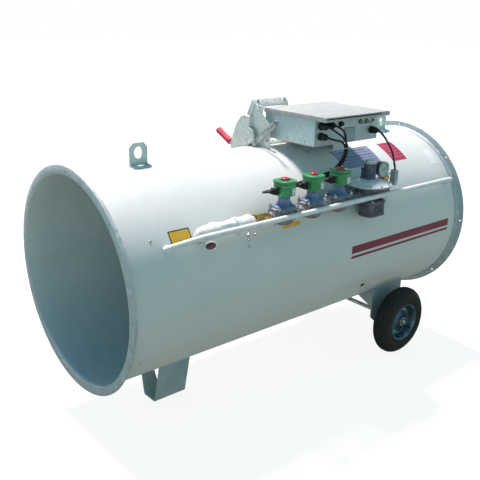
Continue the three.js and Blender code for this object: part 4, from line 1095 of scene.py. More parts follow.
for i, x in enumerate(VALVE_X):
    n = i + 1
    g = Geo()
    cz = (x, TY, 0)
    g.lathe([(184, 0), (184, 12), (185.2, 13), (187, 13), (187.4, 24), (189, 26.4), (193, 32), (198, 34.8), (204, 36), (232, 37.6), (238, 38), (240, 38), (240, 0)], "z", cz, 56)
    g.lathe([(183.9, 0), (183.9, 7), (182.6 + 1.4, 7.2), (184.4, 0)], "z", cz, 6)
    for s in (-1, 1):
        q = (x, TY, TZ)
        g.lathe([(s * 30, 0), (s * 30, 26), (s * 38, 25.4), (s * 40.2, 24), (s * 40.6, 27.2), (s * 42, 28.6), (s * 50.5, 28.6), (s * 52, 27.2), (s * 52.2, 20), (s * 52.2, 0)], "x", q, 8, start=22.5 * D)
        prof, a = [(52, 0), (52, 17.2)], 52.6
        while a < 69:
            prof += [(a, 18.0), (a + 1.0, 17.1), (a + 2.0, 18.0)]
            a += 2.3
        prof += [(71.2, 17.4), (71.2, 0)]
        g.lathe([(s * v, r) for v, r in prof], "x", q, 32)
        g.lathe([(s * 55, 15), (s * 55, 20.5), (s * 56.2, 21.3), (s * 60.6, 21.3), (s * 61.8, 20.5), (s * 61.8, 15)], "x", q, 6, 0, closed=True, start=0.3)
    plate = [(x - 52, -392), (x - 40, -401), (x + 40, -401), (x + 52, -392), (x + 52, -344), (x + 40, -335), (x - 40, -335), (x - 52, -344)]
    g.prism(plate, "z", 239.4, 244.3, 0, 0.9, r=7.0, rn=4)
    g.prism(plate, "z", 244.1, 245.3, 2, 0.2, r=7.0, rn=4)
    g.prism(plate, "z", 245.1, 250.0, 0, 0.9, r=7.0, rn=4)
    for sx in (-1, 1):
        for sy in (-1, 1):
            bx, by = x + sx * 44.5, TY + sy * 23.5
            g.lathe([(212, 0), (212, 4.5), (216, 8.2), (239.6, 8.6), (239.6, 0)], "z", (bx, by, 0), 20)
            g.bolt((bx, by, 250), (0, 0, 1), 12.5, 6.6, 1, washer=1.6, stud=6 + 3 * ((sx + sy + i) % 2), start=0.2 + sx * 0.3 + sy * 0.1 + i)
            g.bolt((bx, by, 212.6), (0, 0, -1), 11, 4.6, 1, washer=0, start=0.5 + i)
    for sx in (-1, 1):       # ribs down the bowl, and a test port plug on the front
        g.prism([(x + sx * 20, 206), (x + sx * 40, 238), (x + sx * 40, 240), (x + sx * 20, 240)], "y", TY - 3, TY + 3, 0, 0.8)
    for sy in (-1, 1):
        g.prism([(TY + sy * 26, 206), (TY + sy * 33, 239), (TY + sy * 26, 239)], "x", x - 3, x + 3, 0, 0.8)
    g.lathe([(-404.6, 0), (-404.6, 6.2), (-403.6, 7.2), (-398, 7.2), (-398, 9.4), (-388, 9.8), (-388, 0)], "y", (x + 17, 0, 224), 6 if i == 1 else 20)
    g.lathe([(-405.8, 0), (-405.8, 3.0), (-404, 3.4), (-404, 0)], "y", (x + 17, 0, 224), 4, 1)
    g.box(x - 26, x + 2, -405.6, -400, 210, 230, 0, 1.4, r=3, plane="y")
    make("valve_casting_%d" % n, g, ["cast", "bolt", "dust"], replaces="valve_body_%d" % n, angle=34)

    g = Geo()
    g.lathe([(250.3, 0), (250.3, 40.2), (251.2, 41), (254.2, 41), (255.4, 40.0), (256.6, 37.6), (259.4, 33.8), (262.8, 30.0), (266.6, 26.8), (271, 24.1), (276, 22.1), (281, 21.0), (284.4, 20.6), (285, 19.4), (285.8, 19.0), (286.4, 21.4), (287.6, 22.2), (291.4, 22.2), (292.5, 21.4), (292.7, 0)], "z", cz, 56)
    make("bonnet_%d" % n, g, ["bonnet"], replaces="valve_bonnet_%d" % n, angle=34)

    g = Geo()
    q, k = 35, 12
    def octo(s, dz=0):
        return [(x - q * s, TY - (q - k) * s), (x - (q - k) * s, TY - q * s), (x + (q - k) * s, TY - q * s), (x + q * s, TY - (q - k) * s),
                (x + q * s, TY + (q - k) * s), (x + (q - k) * s, TY + q * s), (x - (q - k) * s, TY + q * s), (x - q * s, TY + (q - k) * s)]
    g.prism(octo(0.90), "z", 293.0, 297, 0, 1.4, r=4)
    g.prism(octo(0.96), "z", 296, 337.2, 0, 2.0, n=3, r=5, rn=4)
    g.prism(octo(0.94), "z", 336.6, 338.4, 2, 0.3, r=5, rn=4)
    g.prism(octo(1.025), "z", 338.0, 348.0, 0, 2.2, n=3, r=6, rn=4)
    for s in (-1, 1):
        for s2 in (-1, 1):
            g.screw((x + s * 24, TY + s2 * 24, 347.8), "z", 3.2, 1.8, 5, start=0.4 + s + i)
            g.prism([(x + s * 33.0 - 1.2, TY + s2 * 14), (x + s * 33.0 + 1.2, TY + s2 * 14), (x + s * 33.0 + 1.2, TY + s2 * 14 + 3), (x + s * 33.0 - 1.2, TY + s2 * 14 + 3)], "z", 300, 334, 0, 0.5)
    g.lathe([(347.4, 0), (347.4, 17.4), (348.6, 17.4), (349, 15.2), (354.2, 15.2), (355.4, 14.2), (356, 12.6), (356, 4.6), (354.8, 3.8), (354.8, 0)], "z", cz, 44, [0, 0, 0, 1, 1, 1, 1, 1, 1, 1])
    for a in range(12):
        t = a * math.pi / 6 + 0.1
        g.tube([(x + 15.2 * math.cos(t), TY + 15.2 * math.sin(t), 350), (x + 15.2 * math.cos(t), TY + 15.2 * math.sin(t), 354.4)], 0.8, 6, 1, cap=0.4)
    yf = TY - q * 0.96
    g.box(x + 6.5, x + 22.0, yf - 0.5, yf + 0.6, 298.5, 322, 3, 0.2, r=1.2, plane="y")
    g.lathe([(yf - 0.75, 0), (yf - 0.75, 2.6), (yf - 0.3, 2.8), (yf, 0)], "y", (x + 17.2, 0, 317), 20, 1)
    g.box(x + 8.8, x + 19.6, yf - 0.62, yf, 302.5, 303.6, 4, 0.1, plane="y")
    g.box(x + 8.8, x + 19.6, yf - 0.62, yf, 306.5, 307.6, 4, 0.1, plane="y")
    g.lathe([(-35.6, 0), (-35.6, 12.4), (-34.6, 13.2), (-33, 13.2), (-33, 0)], "x", (x, TY, 315), 32)
    make("coil_box_%d" % n, g, ["green", "cap", "hole", "paper", "ink", "bolt", "hole"], replaces="coil_housing_%d" % n)

# regulator
RG = 1110
g = Geo()
cz = (RG, TY, 0)
g.lathe([(186, 0), (186, 33), (190, 36), (200, 40), (222, 41.4), (238, 43.6), (245, 46.6), (252, 51), (258, 55), (261, 56), (261, 0)], "z", cz, 64)
g.lathe([(196.6, 41.2), (199, 42.4), (201.4, 41.2), (199, 39)], "z", cz, 64, closed=True)
for k in range(10):
    t = (k + 0.5) * math.pi / 5
    d = Vector((math.cos(t), math.sin(t), 0))
    g.tube([Vector(cz) + d * 40 + Vector((0, 0, 224)), Vector(cz) + d * 56 + Vector((0, 0, 258))], 2.2, 8, cap=0.4)
    a = Vector(cz) + d * 84
for s in (-1, 1):
    g.lathe([(s * 34, 0), (s * 34, 24), (s * 44, 22), (s * 46, 25.2), (s * 48, 26.6), (s * 73, 26.6), (s * 75.4, 25), (s * 75.4, 0)], "x", (RG, TY, TZ), 8, start=22.5 * D)
prof, a = [(934 + 71.6, 0), (934 + 71.6, 17.2)], 934 + 72.4
while a < 1033:
    prof += [(a, 18.0), (a + 1.0, 17.1), (a + 2.0, 18.0)]
    a += 2.3
g.lathe(prof + [(1036, 17.2), (1036, 0)], "x", (0, TY, TZ), 32)
g.lathe([(1184, 0), (1184, 18), (1212, 18), (1212, 20.6), (1213.4, 21.4), (1222, 21.4), (1223.6, 20), (1223.6, 13.4), (1224.4, 13.4), (1231, 13), (1232, 12), (1232, 0)], "x", (0, TY, TZ), 32)
g.lathe([(1223.6, 0), (1223.6, 12.6), (1231, 12.6), (1231.8, 11.6), (1231.8, 0)], "x", (0, TY, TZ), 4, start=0.7)
blk = [(1058, -416), (1068, -430), (1148, -430), (1158, -416), (1158, -372), (1148, -360), (1068, -360), (1058, -372)]
g.prism(blk, "z", 196, 208, 1, 1.8, n=3, r=7, rn=4)
g.prism([(RG + (p[0] - RG) * 0.94, -395 + (p[1] + 395) * 0.92) for p in blk], "z", 152, 198, 1, 2.2, n=3, r=8, rn=4)
g.prism([(RG + (p[0] - RG) * 0.99, -395 + (p[1] + 395) * 0.97) for p in blk], "z", 146, 154, 1, 1.6, n=3, r=8, rn=4)
for sx in (-1, 1):
    g.bolt((RG + sx * 41, -395, 145.8), (0, 0, -1), 10, 0.001 + 0.2, 2, washer=0.1) if False else None
    for yy in (-422, -370):
        g.bolt((RG + sx * 36, yy, 208), "z", 9, 4, 2, washer=1.0, start=sx + yy * 0.01)
for k in range(-3, 4):
    g.prism([(RG + k * 11 - 1.4, -427.2), (RG + k * 11 + 1.4, -427.2), (RG + k * 11 + 1.4, -425), (RG + k * 11 - 1.4, -425)], "z", 158, 192, 1, 0.4)
make("regulator_casting", g, ["cast", "block", "bolt"], replaces="regulator_body", angle=34)

g = Geo()
g.lathe([(261.3, 0), (261.3, 82), (262.4, 88.8), (263.4, 90.4), (265.0, 91), (266.4, 90.6), (266.4, 0)], "z", cz, 120, 1, r=0.3)
g.lathe([(266.2, 0), (266.2, 89.4), (267.2, 89.4), (267.2, 0)], "z", cz, 120, 3)
g.lathe([(267.0, 0), (267.0, 90.6), (268.2, 91), (270.6, 91), (272.0, 90.0), (272.8, 87.4), (273.2, 81), (274.2, 77.6), (276.4, 72), (279.4, 65.4), (282.6, 58), (285.0, 49), (286.2, 38), (286.8, 28), (287.8, 26.4), (288, 25), (288, 0)], "z", cz, 120, 0)
for k in range(12):
    t = (k + 0.5) * math.pi / 6
    d = Vector((math.cos(t), math.sin(t), 0))
    g.bolt(Vector(cz) + d * 84 + Vector((0, 0, 272.6)), "z", 8, 3.4, 2, washer=0.8, start=t)
    g.bolt(Vector(cz) + d * 84 + Vector((0, 0, 262.0)), (0, 0, -1), 8, 0.3, 2, washer=0.1, start=t)
    g.tube([Vector(cz) + d * 30 + Vector((0, 0, 286.2)), Vector(cz) + d * 47 + Vector((0, 0, 284.6)), Vector(cz) + d * 62 + Vector((0, 0, 279.6))], 1.5, 8, cap=0.5)
make("diaphragm_case", g, ["white", "cast", "bolt", "seal_and_shadow"], replaces="regulator_case", angle=34)

g = Geo()
g.lathe([(288.3, 0), (288.3, 24.4), (290.4, 25.6), (294, 24.8), (296, 23), (349, 23), (350.4, 24), (355, 24), (356.4, 23), (356.8, 21.4), (358.4, 20.6), (363.4, 20.6), (364.8, 19.6), (365, 17.8), (365, 12), (363.6, 11), (363.6, 0)], "z", cz, 56,
        [0] * 6 + [1] * 11)
for k in range(10):
    t = k * math.pi / 5 + 0.3
    g.tube([(RG + 23 * math.cos(t), TY + 23 * math.sin(t), 298), (RG + 23 * math.cos(t), TY + 23 * math.sin(t), 346)], 1.6, 8, 0, cap=0.5)
g.lathe([(363.4, 0), (363.4, 7), (364.6, 6), (364.8, 0)], "z", cz, 6, 1)
vx, vy = RG - 14, TY + 24
g.lathe([(286, 0), (286, 8.4), (292, 8.4), (293, 6.2), (322, 6.2), (323, 8.4), (325.4, 9), (329.6, 9), (330.4, 8), (330.4, 0)], "z", (vx, vy, 0), 20, 0)
make("spring_tower", g, ["dark", "bolt"], replaces="regulator_tower", angle=34)

# gauge
g = Geo()
gc = (1170, 0, 321)
g.lathe([(-360, 0), (-360, 24), (-361, 26), (-374, 30), (-386, 30.4), (-387, 31), (-391, 31), (-392, 30), (-391.8, 28.6), (-389.6, 27.4), (-389.4, 27.2), (-389.4, 0)], "y", gc, 64, [0, 0, 0, 0, 1, 1, 1, 1, 1, 2, 2])
face_y = -389.65
for k in range(0, 31):
    t = (-135 + 9 * k) * D
    d = Vector((math.sin(t), 0, math.cos(t)))
    ln = 5.0 if k % 5 == 0 else 2.8
    c0 = Vector(gc) + Vector((0, face_y, 0))
    g.tube([c0 + d * (24.4 - ln), c0 + d * 24.4], 0.42 if k % 5 == 0 else 0.24, 5, 3)
t = -96 * D
d = Vector((math.sin(t), 0, math.cos(t)))
c0 = Vector(gc) + Vector((0, face_y - 0.5, 0))
g.tube([c0 - d * 7, c0, c0 + d * 19], [0.9, 0.75, 0.25], 6, 3)
g.lathe([(-391.2, 0), (-391.2, 1.8), (-389.6, 2.4), (-389.6, 0)], "y", gc, 20, 3)
g.lathe([(29.6, 0), (29.6, 3.2), (31.0, 3.2), (31.0, 0)], (0.35, 0, 1), Vector(gc) + Vector((0, -380, 0)), 14, 0, r=0.5)
g.lathe([(288.5, 0), (288.5, 5.4), (289, 6), (291, 6), (291, 0)], "z", (1170, -372, 0), 24, 4)
g.lathe([(290.6, 0), (290.6, 7.2), (291.4, 7.8), (297, 7.8), (297.8, 7.2), (297.8, 0)], "z", (1170, -372, 0), 6, 4)
make("gauge", g, ["dark", "bolt", "dial", "ink", "brass"], replaces="pressure_gauge", angle=34)

g = Geo()
cx = (0, -372, 279)
g.lathe([(1170.4, 0), (1170.4, 9.2), (1176, 9.8), (1181, 9.2), (1183, 7.8), (1186, 7.8), (1186, 0)], "x", cx, 28, 1)
g.lathe([(1185.6, 0), (1185.6, 10.2), (1187, 11.4), (1199, 11.4), (1200.4, 10.2), (1200.4, 0)], "x", cx, 6)
g.lathe([(1200, 0), (1200, 8.8), (1206, 9.2), (1210, 9.0), (1216, 10.2), (1219.4, 10.2), (1220.6, 9.2), (1220.6, 0)], "x", cx, 28)
g.lathe([(240.2, 0), (240.2, 9), (246, 9), (246, 10.8), (247, 11.6), (257, 11.6), (258, 10.8), (258, 8.6), (268, 8.6), (270, 10.2), (287, 10.2), (288, 9.2), (288, 0)], "z", (1212, -372, 0), 24)
g.lathe([(287.4, 0), (287.4, 4.2), (290, 4.2), (290, 0)], "z", (1212, -372, 0), 16)
g.lathe([(282, 0), (282, 6.4), (288.2, 6.4), (288.2, 0)], "z", (1170, -372, 0), 6, 0)
make("cock_body", g, ["brass", "maroon"], replaces="gauge_cock", angle=30)
g = Geo()
g.lathe([(288.5, 0), (288.5, 6.2), (289.2, 6.8), (294.6, 6.8), (295.2, 6.0), (295.2, 0)], "z", (1212, -372, 0), 28)
g.prism([(1210, -376.6), (1229, -375.4), (1237, -374.4), (1238.4, -372), (1237, -369.6), (1229, -368.6), (1210, -367.4)], "z", 290.6, 294.6, 0, 0.9, n=3, r=2.0)
g.bolt((1212, -372, 295.0), "z", 6.5, 2.4, 0, washer=0.5)
make("cock_handle", g, ["bolt"], body="cock_lever", replaces="gauge_cock_lever")

g = Geo()
g.box(1242, 1264, -392, -368, 244, 307.4, 0, 1.6, plane="z")
g.prism([(1263, 244), (1284, 244), (1284, 248), (1265, 304), (1263, 304)], "y", -371.5, -368, 0, 0.6)
g.box(1242, 1284, -369, -290, 244, 248, 0, 0.8, plane="x")
g.box(1244.5, 1261.5, -392.9, -391, 249, 302, 0, 0.6, r=1.5, plane="y")
for z in (254, 297):
    g.screw((1253, -392.8, z), (0, -1, 0), 2.6, 1.3, 1, start=z)
g.lathe([(306.6, 0), (306.6, 8.4), (308.3, 8.0), (308.3, 0)], "z", (1253, -380, 0), 6, 3)
g.weld([(1243, -291.6, 249.4), (1283, -291.6, 249.4)], 2.0)
make("switch_case", g, ["frame", "bolt", "hole", "black"], replaces="switch_box")

# ------------------------------------------------------------------ control box
g = Geo()
T = 1.6
x0, x1, y0, y1, z0, z1 = 893, 1257, -268, 14, 419, 521
g.box(x0, x1, y0, y1, z0, z0 + 3.0, 0, 1.2, r=2.5)
g.prism([(x0, y0), (x1, y0), (x1, y0 + 2), (x0, y0 + 2)], "z", z0 + 1, z1, 0, 0.5)
g.prism([(x0, y1 - 2), (x1, y1 - 2), (x1, y1), (x0, y1)], "z", z0 + 1, z1, 0, 0.5)
g.prism([(x0, y0 + 0.4), (x0 + 2, y0 + 0.4), (x0 + 2, y1 - 0.4), (x0, y1 - 0.4)], "z", z0 + 1, z1, 0, 0.5)
g.prism([(x1 - 2, y0 + 0.4), (x1, y0 + 0.4), (x1, y1 - 0.4), (x1 - 2, y1 - 0.4)], "z", z0 + 1, z1, 0, 0.5)
for xa, ya in ((x0, y0), (x1, y0), (x0, y1), (x1, y1)):
    g.lathe([(z0 + 1, 0), (z0 + 1, 1.7), (z1 - 0.3, 1.7), (z1 - 0.3, 0)], "z", (xa + (1.7 if xa == x0 else -1.7), ya + (1.7 if ya == y0 else -1.7), 0), 16)
# inner turned flange round the top
g.box(x0 + 1, x1 - 1, y0 + 1, y0 + 14, z1 - 2.6, z1 - 0.8, 0, 0.4, plane="x")
g.box(x0 + 1, x1 - 1, y1 - 10, y1 - 1, z1 - 2.6, z1 - 0.8, 0, 0.4, plane="x")
g.box(x0 + 1, x0 + 12, y0 + 13, y1 - 9, z1 - 2.6, z1 - 0.8, 0, 0.4, plane="y")
g.box(x1 - 12, x1 - 1, y0 + 13, y1 - 9, z1 - 2.6, z1 - 0.8, 0, 0.4, plane="y")
# cover plate, button ring, toggle bushings, lamp, screws and plug buttons on the front
g.box(1056, 1119, y0 - 1.3, y0 + 0.2, 424, 480, 6, 0.5, r=3, plane="y")
g.box(1058.5, 1116.5, y0 - 1.7, y0, 426.5, 477.5, 7, 0.3, r=2, plane="y")
for sx in (1060.5, 1114.5):
    for sz in (428.5, 475.5):
        g.screw((sx, y0 - 1.5, sz), (0, -1, 0), 2.0, 1.0, 1, start=sx)
g.lathe([(y0 + 0.5, 6.4), (y0 + 0.5, 12.0), (y0 - 1.2, 12.4), (y0 - 3.2, 11.4), (y0 - 3.2, 6.4)], "y", (1033, 0, 497), 32, 3, closed=True)
for x, z in ((1150, 496), (1187, 495)):
    g.lathe([(y0 + 0.5, 5.4), (y0 + 0.5, 10.8), (y0 - 0.8, 10.8), (y0 - 0.8, 8.7), (y0 - 4.0, 8.7), (y0 - 4.3, 8.2), (y0 - 4.3, 5.4)], "y", (x, 0, z), 6, 3, closed=True)
    prof, a = [(y0 + 0.3, 5.4), (y0 + 0.3, 7.2)], y0 - 0.3
    while a > y0 - 7.6:
        prof += [(a, 7.2), (a - 0.5, 6.7), (a - 1.0, 7.2)]
        a -= 1.2
    g.lathe(prof + [(y0 - 8, 6.9), (y0 - 8, 5.4)], "y", (x, 0, z), 28, 1, closed=True)
g.lathe([(y0 + 0.5, 0), (y0 + 0.5, 9.6), (y0 - 1.4, 9.6), (y0 - 2.2, 8.8), (y0 - 2.4, 6.8)], "y", (1224, 0, 496), 32, 1)
g.lathe([(y0 - 1.6, 0), (y0 - 1.6, 6.8), (y0 - 4.6, 6.6), (y0 - 7.2, 5.2), (y0 - 8.2, 2.8), (y0 - 8.4, 0)], "y", (1224, 0, 496), 32, 4)
for x, z in ((905, 430), (1245, 430), (905, 514), (1245, 514), (1086, 513)):
    g.screw((x, y0, z), (0, -1, 0), 3.0, 1.6, 1, start=x)
for y, z in ((-120, 434), (-215, 434), (-30, 434)):
    g.screw((x0, y, z), (-1, 0, 0), 4.2, 2.0, 1, start=y)
    g.screw((x1, y, z), (1, 0, 0), 4.2, 2.0, 1, start=y)
for x in (1150, 1187, 1224, 1033):      # bare backing plates over and under the controls
    g.box(x - 11, x + 11, y0 - 0.55, y0, 508, 513.5, 5, 0.15, r=0.8, plane="y")
# gear inside, seen with the lid open
g.box(915, 1240, -236, -4, 422, 424.5, 0, 0.5)
for k, (xa, wa, ya, da, ha) in enumerate(((930, 70, -216, 60, 52), (1012, 44, -216, 60, 44), (1066, 44, -216, 60, 44), (1124, 88, -210, 74, 60), (930, 120, -112, 40, 30), (1070, 140, -118, 60, 46))):
    g.box(xa, xa + wa, ya, ya + da, 424, 424 + ha, (3, 6, 6, 5, 3, 3)[k], 1.6, r=2)
    for j in range(int(wa / 14)):
        g.screw((xa + 8 + j * 14, ya + 8, 424 + ha), "z", 2.6, 1.2, 1, start=j)
g.box(925, 1225, -52, -34, 424, 446, 3, 1.0)
make("box_body", g, ["box", "bolt", "hole", "black", "lens", "paper", "motor", "frame"], replaces="control_box", angle=30)

g = Geo()
lx0, lx1, ly0, ly1, lz0, lz1 = 887, 1262, -323.5, 18, 519.4, 537
g.box(lx0 + 0.6, lx1 - 0.6, ly0 + 0.6, ly1 - 0.6, lz1 - 2, lz1, 0, 0.9, r=3)
rim = [(lx0, ly0), (lx1, ly0), (lx1, ly1), (lx0, ly1)]
fo = filleted([Vector(p) for p in rim], 2.4, 4)
if sum(fo[i - 1].x * p.y - p.x * fo[i - 1].y for i, p in enumerate(fo)) < 0:
    fo.reverse()
fi = inset(fo, 1.8)
layers = [(lz0, 0.5), (lz0 + 0.6, 0.0), (lz1 - 2.4, 0.0), (lz1 - 0.8, 0.5)]
verts, faces, N = [], [], len(fo)
for z, d in layers:
    verts += [(p.x, p.y, z) for p in inset(fo, d)] if d else [(p.x, p.y, z) for p in fo]
for z, d in layers:
    verts += [(p.x, p.y, z) for p in (inset(fi, -d * 0.6) if d else fi)]
for l in range(3):
    for k in range(N):
        k2 = (k + 1) % N
        faces.append((l * N + k, l * N + k2, (l + 1) * N + k2, (l + 1) * N + k))
        o = 4 * N
        faces.append((o + l * N + k, o + (l + 1) * N + k, o + (l + 1) * N + k2, o + l * N + k2))
for k in range(N):
    k2 = (k + 1) % N
    faces.append((k, 4 * N + k, 4 * N + k2, k2))
    faces.append((3 * N + k, 3 * N + k2, 7 * N + k2, 7 * N + k))
g.put(verts, faces)
# hem folded back under the front edge, gasket strip and stiffener
g.box(lx0 + 3, lx1 - 3, ly0 + 1.2, ly0 + 14, lz0 + 0.2, lz0 + 1.8, 0, 0.4, plane="x")
g.box(897, 1253, -267, -257, 521.5, 535.4, 1, 1.2, plane="x")
g.box(897, 1253, 4, 12, 521.5, 535.4, 1, 1.2, plane="x")
g.box(895, 903, -258, 5, 521.5, 535.4, 1, 1.2, plane="y")
g.box(1247, 1255, -258, 5, 521.5, 535.4, 1, 1.2, plane="y")
for y in (-296, -60):
    g.screw((lx0, y, 528), (-1, 0, 0), 3.6, 1.7, 2, start=y)
    g.screw((lx1, y, 528), (1, 0, 0), 3.6, 1.7, 2, start=y)
for x in (940, 1209):
    g.screw((x, ly0, 528), (0, -1, 0), 3.0, 1.5, 2, start=x)
hinge = [(927, 1000), (1001, 1074), (1149, 1222)]
for a, b in hinge:
    g.lathe([(a, 0), (a, 3.6), (a + 0.6, 4.0), (b - 0.6, 4.0), (b, 3.6), (b, 0)], "x", (0, 22, 524.5), 20, 0)
    g.box(a, b, 16.8, 22, 525, 527.4, 0, 0.5, plane="x")
# painted shadow: a black strip along the front of the lid skirt stands in for the dark gap under the lid's front edge
g.box(lx0 + 9, lx0 + 322, ly0 - 0.5, ly0 + 0.2, lz1 - 9.5, lz1 - 4.5, 1, 0.15, plane="y")
make("box_lid_sheet", g, ["lid", "seal_and_shadow", "bolt", "hole"], body="box_lid", replaces="control_box_lid", angle=30)
g = Geo()
g.lathe([(1074.6, 0), (1074.6, 3.6), (1075.2, 4.0), (1147.8, 4.0), (1148.4, 3.6), (1148.4, 0)], "x", (0, 22, 524.5), 20, 0)
g.box(1075, 1148, 12.5, 21.4, 519.4, 521.2, 0, 0.5, plane="x")
g.prism([(14.2, 490), (16.2, 490), (16.2, 521), (14.2, 521)], "x", 927, 1222, 0, 0.4)
for x in (950, 1040, 1110, 1200):
    g.screw((x, 16.2, 504), (0, 1, 0), 3.0, 1.4, 1, start=x)
make("lid_hinge_leaf", g, ["box", "bolt", "hole"])

refined("box_stand_sheet", "box_stand", ["galv"], width=0.6)

for n, x, z in ((1, 1150, 496), (2, 1187, 495)):
    g = Geo()
    t = 194 * D
    ax2 = Vector((0, math.cos(t), math.sin(t)))
    c0 = (x, -270.5, z)
    g.lathe([(-5, 0), (-5, 1.8), (-2, 3.6), (1, 4.2), (3.6, 3.4), (5.4, 2.1), (8, 2.2), (12, 2.6), (17, 3.2), (20.6, 3.5), (22.8, 3.1), (23.8, 2.1), (24.1, 0)], ax2, c0, 28, 0)
    make("toggle_lever_%d" % n, g, ["bolt"], body="toggle_switch_%d" % n, replaces="toggle_%d" % n, angle=50)
g = Geo()
g.lathe([(-262.4, 0), (-262.4, 5.8), (-274.4, 5.9), (-274.6, 8.0), (-275.6, 8.5), (-278.8, 8.4), (-279.8, 7.4), (-280, 5.6), (-279.6, 0)], "y", (1033, 0, 497), 40)
make("button_cap", g, ["black"], body="push_button", replaces="start_button")

for n, (x, z) in enumerate(((921, 458), (920, 498), (959, 500), (1217, 458))):
    g = Geo()
    c0 = (x, 0, z)
    g.lathe([(-268.3, 0), (-268.3, 14.4), (-269, 15.2), (-270.6, 15.2), (-271.2, 14.4), (-271.2, 0)], "y", c0, 40)
    g.lathe([(-271, 0), (-271, 14.2), (-272.2, 15.4), (-278.8, 15.4), (-280, 14.4), (-280, 0)], "y", c0, 6, start=0.4 + n)
    g.lathe([(-279.8, 0), (-279.8, 11.4), (-282, 11.4), (-282, 0)], "y", c0, 32)
    g.lathe([(-281.8, 0), (-281.8, 12.4), (-282.6, 13.2), (-294.0, 12.9), (-297.0, 12.0), (-300.4, 10.2), (-303.2, 8.4), (-304, 7.2), (-304, 0)], "y", c0, 72, mod=lambda a, r, t: r - (0.9 if (t * 12 / (2 * math.pi)) % 1 < 0.3 and a < -282.4 and a > -298 else 0))
    g.lathe([(-303.8, 0), (-303.8, 6.6), (-304.25, 6.2), (-304.25, 0)], "y", c0, 24, 1)
    make("gland_nut_%d" % (n + 1), g, ["black", "seal_and_shadow"], replaces="gland_%d" % (n + 1), angle=26)


# ------------------------------------------------------------------ hand winch
WY, WZ = 59, 420
g = Geo()
cover = [(62, 376), (62, 500), (78, 501.5), (94, 502), (106, 497), (118, 490), (130, 478), (140, 464), (150, 447), (158, 429), (166, 411), (172, 392), (178, 369), (183, 346), (183, 340)]
g.prism(cover[1:-1] + [(183.2, 340), (183.6, math.sqrt((R + 0.4) ** 2 - 183.6 ** 2)), (150, math.sqrt((R + 0.4) ** 2 - 150 ** 2)), (100, math.sqrt((R + 0.4) ** 2 - 100 ** 2)), (62, math.sqrt((R + 0.4) ** 2 - 62 ** 2))], "x", 846, 862, 0, 2.4, n=3)
# a pressed step and rim round the cover
edge = [Vector((845.6, y, z)) for y, z in cover[1:14]]
g.tube([p + Vector((0, -5.5 * (1 if p.y > 70 else 0), -5.5)) for p in edge], 1.5, 8, 0, cap=0.5)
side = [(88, 480), (60, 530), (44, 549), (-7, 543), (3, 514), (-32, 487), (-50, 470), (-50, 440), (-50, math.sqrt((R + 0.4) ** 2 - 2500)), (0, R + 0.4), (50, math.sqrt((R + 0.4) ** 2 - 2500)), (110, math.sqrt((R + 0.4) ** 2 - 12100)), (110, 470)]
g.prism(side, "x", 862, 866, 0, 1.2, n=2, r=[6, 4, 3, 6, 9, 10, 8, 6, 0, 0, 0, 0, 8], rn=5)
g.prism([(97, 486), (60, 561), (44, 549), (76, 486)], "x", 858.4, 863.4, 0, 1.2, r=2.0)
g.prism([(76, 486), (44, 549), (47.5, 551.4), (79.6, 487.6)], "x", 855, 862, 0, 0.8, r=1.0)
g.prism([(93.2, 486), (56.4, 558.4), (60, 561), (97, 487.6)], "x", 855, 862, 0, 0.8, r=1.0)
back = [(100, 470), (66, 562), (50, 546), (26, 500), (26, math.sqrt((R + 0.4) ** 2 - 26 ** 2)), (70, math.sqrt((R + 0.4) ** 2 - 4900)), (110, math.sqrt((R + 0.4) ** 2 - 12100))]
g.prism(back, "x", 1044, 1048, 0, 1.2, r=[9, 8, 8, 10, 0, 0, 0], rn=4)
g.prism([(46, 542), (66, 561), (62.5, 565), (42.5, 546)], "x", 858, 1048, 0, 1.2, n=2, r=1.4)
g.prism([(46, 541.4), (49.4, 541.4), (49.4, 534), (46, 534)], "x", 866, 1044, 0, 0.8, r=0.8)
g.prism([(64.4, 561.4), (67.6, 561.2), (70.4, 552), (67.2, 551.6)], "x", 866, 1044, 0, 0.8, r=0.8)
g.prism([(96, math.sqrt((R + 0.4) ** 2 - 96 ** 2)), (96, 372.5), (110, 372.5), (110, math.sqrt((R + 0.4) ** 2 - 12100))], "x", 864, 1046, 0, 1.0, r=1.2)
# boss ring, rivets, bolts and welds
g.lathe([(838.4, 28.4), (838.4, 31.4), (839.4, 32.4), (846.6, 33.4), (846.6, 28.4)], "x", (0, WY, WZ), 64, 0, closed=True)
g.lathe([(1047.6, 10.4), (1047.6, 20), (1050.4, 20), (1051.4, 19), (1051.4, 10.4)], "x", (0, WY, WZ), 40, 0, closed=True)
for y, z in ((90, 488), (146, 436), (170, 366), (74, 388)):
    g.lathe([(846.5, 0), (846.5, 5.2), (845.2, 5.0), (843.8, 3.6), (843.2, 1.6), (843.1, 0)], "x", (0, y, z), 20, 1)
for y, z, h in ((-38, 462, 6.0), (-36, 410, 6.0), (20, 528, 4.6)):
    g.bolt((862, y, z), (-1, 0, 0), h * 1.9, 4.2, 1, washer=1.4, stud=3, start=y)
    g.bolt((866, y, z), (1, 0, 0), h * 1.9, 4.2, 1, washer=1.4, start=z)
for y, z in ((52, 553.4), (57, 548)):
    pass
for x in (884, 1030):
    g.bolt((x, 54.2, 555.6), (0, -0.70, 0.72), 11, 4.4, 1, washer=1.2, start=x)
for y, z in ((84, 470), (60, 530), (40, 480)):
    g.bolt((1048, y, z), (1, 0, 0), 11, 4.4, 1, washer=1.4, start=y)
for x in (900, 960, 1020):
    g.bolt((x, 103, 372.2), "z", 11, 4.2, 1, washer=1.4, start=x)
g.lathe([(850, 5.3), (850, 10.4), (862.4, 10.4), (862.4, 5.3)], "x", (0, 14, 400), 32, 0, closed=True)
g.weld([(866.6, y, math.sqrt((R + 2) ** 2 - y * y)) for y in range(-48, 110, 4)], 2.6)
g.weld([(845.6, y, math.sqrt((R + 2) ** 2 - y * y)) for y in range(66, 182, 4)], 2.4)
g.weld([(1048.8, y, math.sqrt((R + 2) ** 2 - y * y)) for y in range(28, 110, 4)], 2.6)
